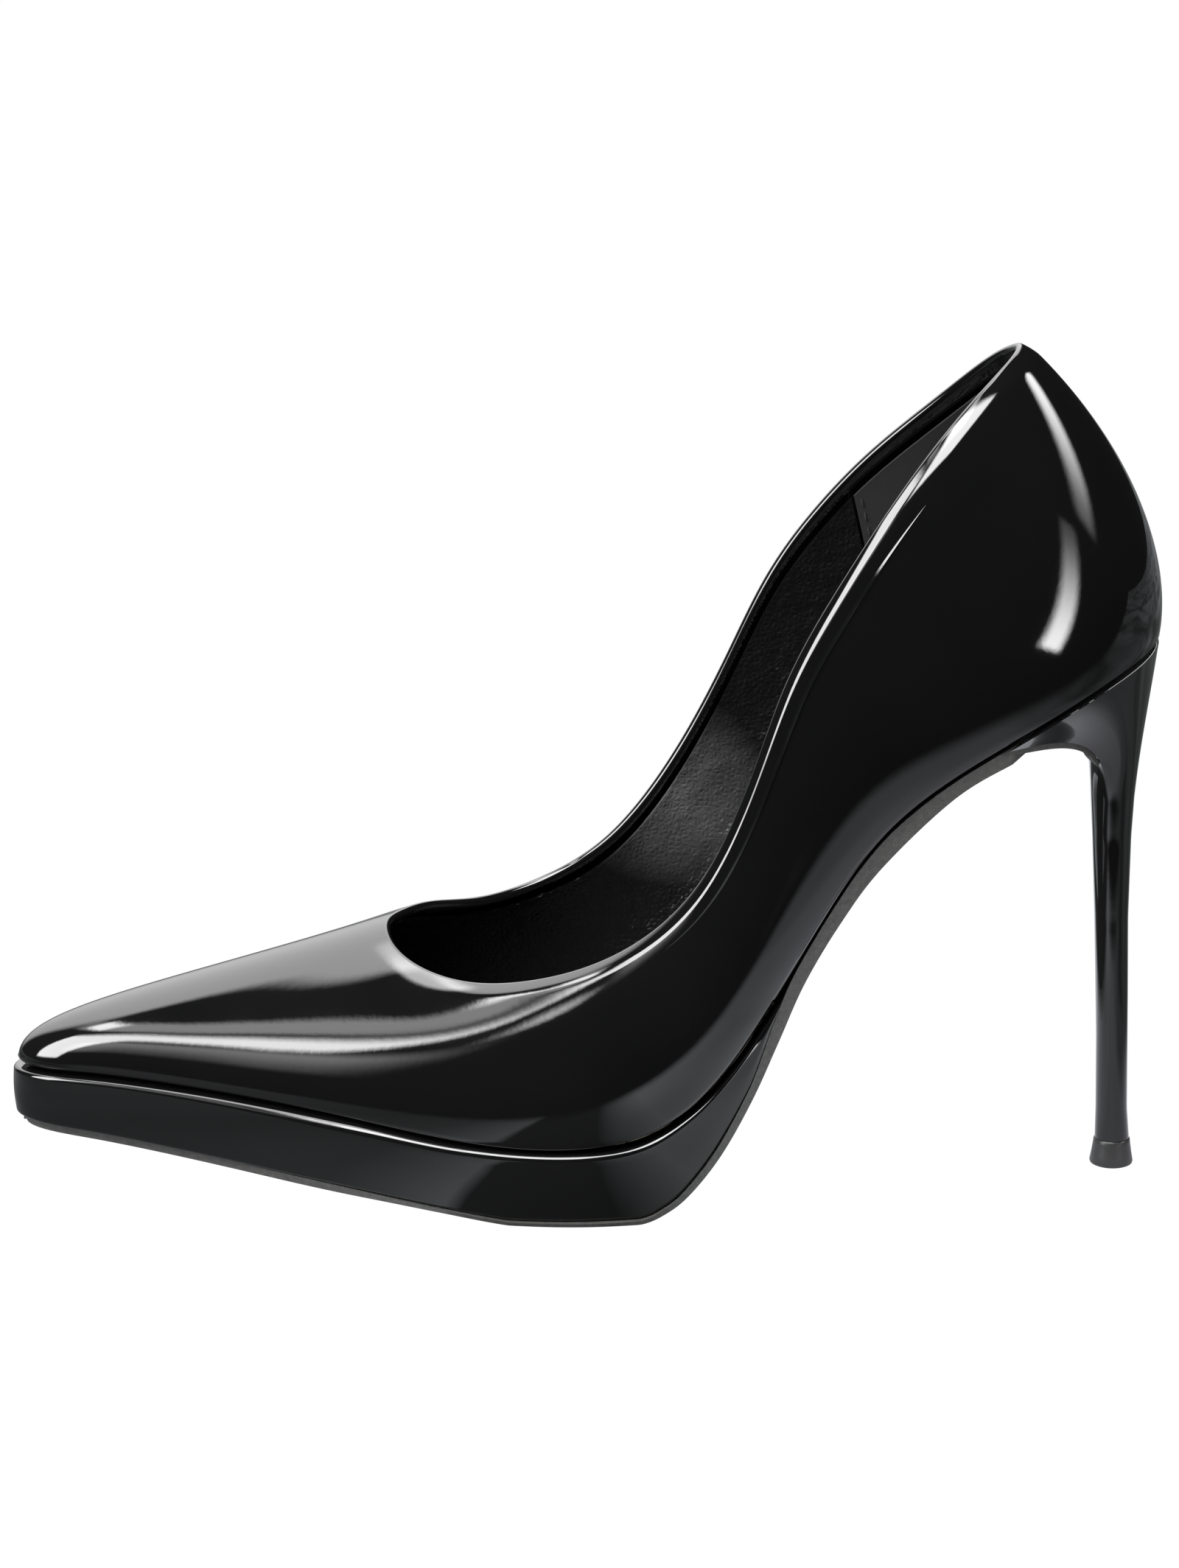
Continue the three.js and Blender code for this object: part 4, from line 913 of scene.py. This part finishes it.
def rim_ring(angle, depth, inset=RIM_INSET, height=RIM_HEIGHT):
    """Rim of the heel seat: the feather edge round the back, a hollow across the front."""
    turn = np.abs(angle)
    side = np.where(angle < 0, -1.0, 1.0)
    corner_rib = SEAT_CORNER_RIB - CORNER_RETREAT * depth
    u = side * corner_rib * np.minimum(1, turn / CORNER_ANGLE)
    back = margin_point(u, depth + inset, height)
    corner = margin_point(side * corner_rib, depth + inset, height)
    first = margin_point(side * SEAT_CORNER_RIB, inset, height)
    hollow = BREAST_CENTRE_X - BREAST_EDGE_X
    y = corner[:, 1] * (math.pi - turn) / (math.pi - CORNER_ANGLE)
    slope = 2 * hollow * y / first[:, 1] ** 2
    x = first[:, 0] + hollow * (1 - (y / first[:, 1]) ** 2) + depth * np.hypot(1, slope)
    front = np.stack([x, y, above(height)(x)], -1)
    return np.where((turn <= CORNER_ANGLE)[:, None], back, front)


FRONT_LIFT = 5.0  # the flare turns later and tighter at the breast


def flare_ring(angle, t, depth):
    front = np.clip((np.abs(angle) / math.pi - 0.3) / 0.32, 0, 1)
    front = front * front * (3 - 2 * front)
    p0 = stem_ring(angle, STEM_TOP, depth)
    p1 = stem_ring(angle, FLARE_HANDLE, depth)
    p1[:, 2] += FRONT_LIFT * front
    p3 = rim_ring(angle, depth)
    p2 = p3 + (p1 - p3) * (0.35 + 0.1 * front)[:, None]
    p2[:, 2] = p3[:, 2] + (0.45 - 0.4 * front) * (FLARE_HANDLE - p3[:, 2]) + depth * 0.9
    return (1 - t) ** 3 * p0 + 3 * t * (1 - t) ** 2 * p1 + 3 * t * t * (1 - t) * p2 + t ** 3 * p3


def heel_angles(back=120, front=48):
    round_back = np.linspace(-CORNER_ANGLE, CORNER_ANGLE, back)
    across = np.linspace(CORNER_ANGLE, 2 * math.pi - CORNER_ANGLE, front)[1:-1]
    across = np.where(across > math.pi, across - 2 * math.pi, across)
    return np.concatenate([round_back, across])


def heel_wall(depth):
    angle = heel_angles()
    stem = [stem_ring(angle, z, depth) for z in np.linspace(TOP_PIECE_HEIGHT + 0.1, STEM_TOP, 60)]
    flare = [flare_ring(angle, t, depth) for t in np.linspace(0, 1, 60)[1:]]
    return np.stack(stem + flare, 1)


HEEL_WRAP_THICKNESS = 0.5
FLAP_START = 0.22  # share of the flare where the flap's lower end lies
FLAP_FRONT, FLAP_BACK = -1.0, -0.05  # depths; below zero is outside the heel


def build_heel():
    outside, inside = heel_wall(0.0), heel_wall(HEEL_WRAP_THICKNESS)
    wrap = sheet("heel_wrap", outside, inside, PATENT_WRAP, True, math.radians(60))
    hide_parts("heel_cover")
    edge = CORNER_ANGLE + 0.015 * math.pi
    angle = np.linspace(edge, 2 * math.pi - edge, 60)
    angle = np.where(angle > math.pi, angle - 2 * math.pi, angle)
    rows = np.linspace(FLAP_START, 1.0, 44)
    front = np.stack([flare_ring(angle, t, FLAP_FRONT) for t in rows], 1)
    back = np.stack([flare_ring(angle, t, FLAP_BACK) for t in rows], 1)
    flap = sheet("breast_flap", front, back, SOLE)
    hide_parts("heel_breast_flap")


def build_top_piece():
    """Moulded tip: a waisted frustum with a small round at the floor, as (height, radius)."""
    radii = [(0.0, 4.0), (0.15, 4.3), (0.5, 4.4), (2.5, 4.05), (4.6, 3.75), (5.2, 3.7), (5.45, 3.5)]
    angle = np.linspace(0, 2 * math.pi, 96, endpoint=False)
    rings = [np.stack([TIP_X + r * np.cos(angle), r * np.sin(angle), np.full_like(angle, z)], -1)
             for z, r in radii]
    points = np.concatenate(rings)
    size = len(angle)
    faces = []
    for here in range(0, (len(rings) - 1) * size, size):
        for k in range(size):
            nxt = (k + 1) % size
            faces.append((here + k, here + nxt, here + size + nxt, here + size + k))
    faces.append(tuple(reversed(range(size))))
    faces.append(tuple((len(rings) - 1) * size + k for k in range(size)))
    piece = add_piece("moulded_tip", points, faces, TIP)
    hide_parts("top_piece")


# ---- parts kept from the frame ------------------------------------------------------------------------

KEPT_FINISHES = {
    "insole_board": BOARD, "shank_board": BOARD, "steel_shank": STEEL, "shank_rivet_front": STEEL,
    "shank_rivet_rear": STEEL, "platform_core": FOAM, "heel_block": HEEL_PLASTIC,
    "heel_dowel": STEEL, "heel_screw": STEEL, "top_piece_pin": STEEL,
    "heel_nail_1": STEEL, "heel_nail_2": STEEL, "heel_nail_3": STEEL, "heel_nail_4": STEEL,
}


def finish_kept_nodes():
    for name, material in KEPT_FINISHES.items():
        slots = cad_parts[name].data.materials
        slots.clear()
        slots.append(material)


# ---- studio --------------------------------------------------------------------------------------------

MATT_FILL = 0.5  # soft room light that only matt surfaces show


class Studio(Graph):
    """Soft boxes placed by direction round the shoe. They light it and show in its
    reflections; the camera itself sees only white."""

    def __init__(self):
        world = bpy.data.worlds.new("studio")
        bpy.context.scene.world = world
        world.use_nodes = True
        super().__init__(world.node_tree)
        self.direction = self.add("ShaderNodeTexCoord").outputs["Generated"]
        self.total = None

    def along(self, axis):
        node = self.add("ShaderNodeVectorMath", operation="DOT_PRODUCT")
        self.link(self.direction, node.inputs[0])
        node.inputs[1].default_value = axis
        return node.outputs["Value"]

    def box(self, azimuth, elevation, width, height, strength, soft=(0.3, 0.3), tilt=0.0, low=1.0):
        """Angles in degrees; azimuth 0 faces the camera and 90 the heel. low scales its foot."""
        az, el, roll = (math.radians(a) for a in (azimuth, elevation, tilt))
        forward = Vector((math.sin(az) * math.cos(el), -math.cos(az) * math.cos(el), math.sin(el)))
        side = forward.cross(Vector((0, 0, 1))).normalized()
        up = side.cross(forward)
        right = side * math.cos(roll) + up * math.sin(roll)
        up = up * math.cos(roll) - side * math.sin(roll)
        depth = self.math("MAXIMUM", self.along(forward), 0.001)
        mask = self.ramp(depth, 0.0, 1.0, 0.02, 0.1, smooth=True)
        for axis, size, blur in ((right, width, soft[0]), (up, height, soft[1])):
            half = math.tan(math.radians(size / 2))
            place = self.math("ABSOLUTE", self.math("DIVIDE", self.along(axis), depth))
            edge = self.ramp(place, 1.0, 0.0, half * (1 - blur), half * (1 + blur), smooth=True)
            mask = self.math("MULTIPLY", mask, edge)
        half = math.tan(math.radians(height / 2))
        rise = self.math("DIVIDE", self.along(up), depth)
        shade = self.ramp(rise, low * strength, strength, -half, half, smooth=True)
        mask = self.math("MULTIPLY", mask, shade)
        self.total = mask if self.total is None else self.math("ADD", self.total, mask)

    def close(self, ambient):
        background = self.tree.nodes["Background"]
        background.inputs["Color"].default_value = (1, 1, 1, 1)
        path = self.add("ShaderNodeLightPath")
        seen = path.outputs["Is Camera Ray"]
        fill = self.math("MULTIPLY", path.outputs["Is Diffuse Ray"], MATT_FILL)
        reflected = self.math("MULTIPLY", self.math("SUBTRACT", 1.0, seen),
                              self.math("ADD", self.total, self.math("ADD", fill, ambient)))
        self.link(self.math("ADD", seen, reflected), background.inputs["Strength"])


def build_world():
    studio = Studio()
    studio.box(-158, 26, 58, 80, 4.6, soft=(0.25, 0.12), low=0.05)  # white sweep behind the toe
    studio.box(-82, 56, 30, 5, 4, soft=(0.4, 0.5))  # upper edge of the toe softbox
    studio.box(-91, 56, 12, 4, 12, soft=(0.5, 0.5))  # its lamp
    studio.box(-52, 29, 14, 18, 3.2, soft=(0.7, 0.4), low=0.5)  # its body, fading downwards
    studio.box(42, 0.5, 8, 38, 1, soft=(0.6, 0.08), tilt=23, low=18)  # strip at the heel
    studio.box(77, 31, 10, 38, 17, soft=(0.7, 0.15), tilt=46, low=0.1)  # and its upper part
    studio.box(-20, 56, 32, 26, 18, soft=(0.2, 0.2))  # front light, picked up by the topline
    studio.box(-67, 28, 24, 42, 16, soft=(0.15, 0.15))  # side box, for the rolled topline
    studio.box(-95, 73, 50, 14, 8, soft=(0.3, 0.3))  # high bar, picked up by the platform ledge
    studio.close(ambient=0.015)


# Brightness of the table in reflections, painted light with a painted shadow of the shoe as the dip under
# the ball: metres along the shoe, strength.
TABLE_GLOW = [
    (-0.20, 0.28), (-0.165, 0.4), (-0.138, 1.0), (-0.134, 0.1), (-0.10, 0.1), (-0.075, 1.3),
    (-0.02, 0.75), (0.05, 0.6), (0.10, 0.3),
]
TABLE_EDGE = (-0.15, -0.11)  # metres, where the table ends in front of the shoe
TABLE_MATT_GLOW = 1.2  # what matt surfaces get from it
FLOOR_SIZE = 3.0  # metres, half the side
SAGE, VIOLET, WHITE = (0.9, 1.0, 0.93), (0.9, 0.88, 1.0), (1.0, 1.0, 1.0)


def stops(graph, place, places):
    """Straight-line brightness along a place, from (metres, brightness) pairs."""
    total = None
    for (start, before), (end, after) in zip(places, places[1:]):
        step = graph.ramp(place, 0.0, after - before, start, end)
        total = step if total is None else graph.math("ADD", total, step)
    return graph.math("ADD", total, places[0][1])


def floor_material():
    """White to the camera. In reflections the table glows along the shoe with painted light,
    darkest under the ball, where a shadow of the shoe is painted in, and ends in front of it;
    beyond its edge the room is seen."""
    material = bpy.data.materials.new("pale_floor")
    material.use_nodes = True
    graph = Graph(material.node_tree)
    graph.tree.nodes.clear()
    output = graph.add("ShaderNodeOutputMaterial")
    pale = graph.add("ShaderNodeEmission")
    place = graph.add("ShaderNodeSeparateXYZ")
    graph.link(graph.add("ShaderNodeTexCoord").outputs["Object"], place.inputs[0])
    path = graph.add("ShaderNodeLightPath")
    seen = path.outputs["Is Camera Ray"]
    streaks = graph.add("ShaderNodeTexNoise", Scale=24, Detail=2, Distortion=1.5).outputs["Fac"]
    uneven = graph.ramp(streaks, 0.35, 1.25, 0.35, 0.65)
    matt = graph.math("MULTIPLY", path.outputs["Is Diffuse Ray"], TABLE_MATT_GLOW)
    glow = graph.math("MULTIPLY", stops(graph, place.outputs["X"], TABLE_GLOW), uneven)
    glow = graph.math("ADD", glow, matt)
    strength = graph.add("ShaderNodeMix")
    graph.link(seen, strength.inputs["Factor"])
    graph.link(glow, strength.inputs["A"])
    strength.inputs["B"].default_value = 1.0
    graph.link(strength.outputs["Result"], pale.inputs["Strength"])
    graph.link(graph.blend(seen, graph.blend(streaks, SAGE, VIOLET), WHITE), pale.inputs["Color"])
    table = graph.ramp(place.outputs["Y"], 0.0, 1.0, *TABLE_EDGE, smooth=True)
    surface = graph.add("ShaderNodeMixShader")
    graph.link(graph.math("MAXIMUM", seen, table), surface.inputs[0])
    graph.link(graph.add("ShaderNodeBsdfTransparent").outputs[0], surface.inputs[1])
    graph.link(pale.outputs[0], surface.inputs[2])
    graph.link(surface.outputs[0], output.inputs["Surface"])
    return material


def build_floor():
    mesh = bpy.data.meshes.new("floor")
    corners = [(x * FLOOR_SIZE, y * FLOOR_SIZE, 0) for x, y in ((-1, -1), (1, -1), (1, 1), (-1, 1))]
    mesh.from_pydata(corners, [], [(0, 1, 2, 3)])
    mesh.materials.append(floor_material())
    floor = bpy.data.objects.new("floor", mesh)
    bpy.context.scene.collection.objects.link(floor)


TARGET = Vector((-107.306 - TIP_X, 0, 80.69))  # middle of the picture
CAMERA_ELEVATION = math.radians(17)
CAMERA_DISTANCE = 950
FOCAL_LENGTH = 109.3
SENSOR_HEIGHT = 36


def build_camera():
    back = Vector((0, -math.cos(CAMERA_ELEVATION), math.sin(CAMERA_ELEVATION)))
    camera = bpy.data.cameras.new("camera")
    camera.lens = FOCAL_LENGTH
    camera.sensor_fit = "VERTICAL"
    camera.sensor_height = SENSOR_HEIGHT
    camera.clip_start = 0.01
    holder = bpy.data.objects.new("camera", camera)
    holder.location = (TARGET + back * CAMERA_DISTANCE) * MM
    holder.rotation_euler = (-back).to_track_quat("-Z", "Y").to_euler()
    bpy.context.scene.collection.objects.link(holder)
    bpy.context.scene.camera = holder


build_upper()
build_binding()
build_linings()
build_grip_stitches()
build_stiffeners()
build_bottom()
build_platform()
build_outsole()
build_heel()
build_top_piece()
finish_kept_nodes()
build_world()
build_floor()
build_camera()
bpy.context.scene.view_settings.view_transform = "Standard"
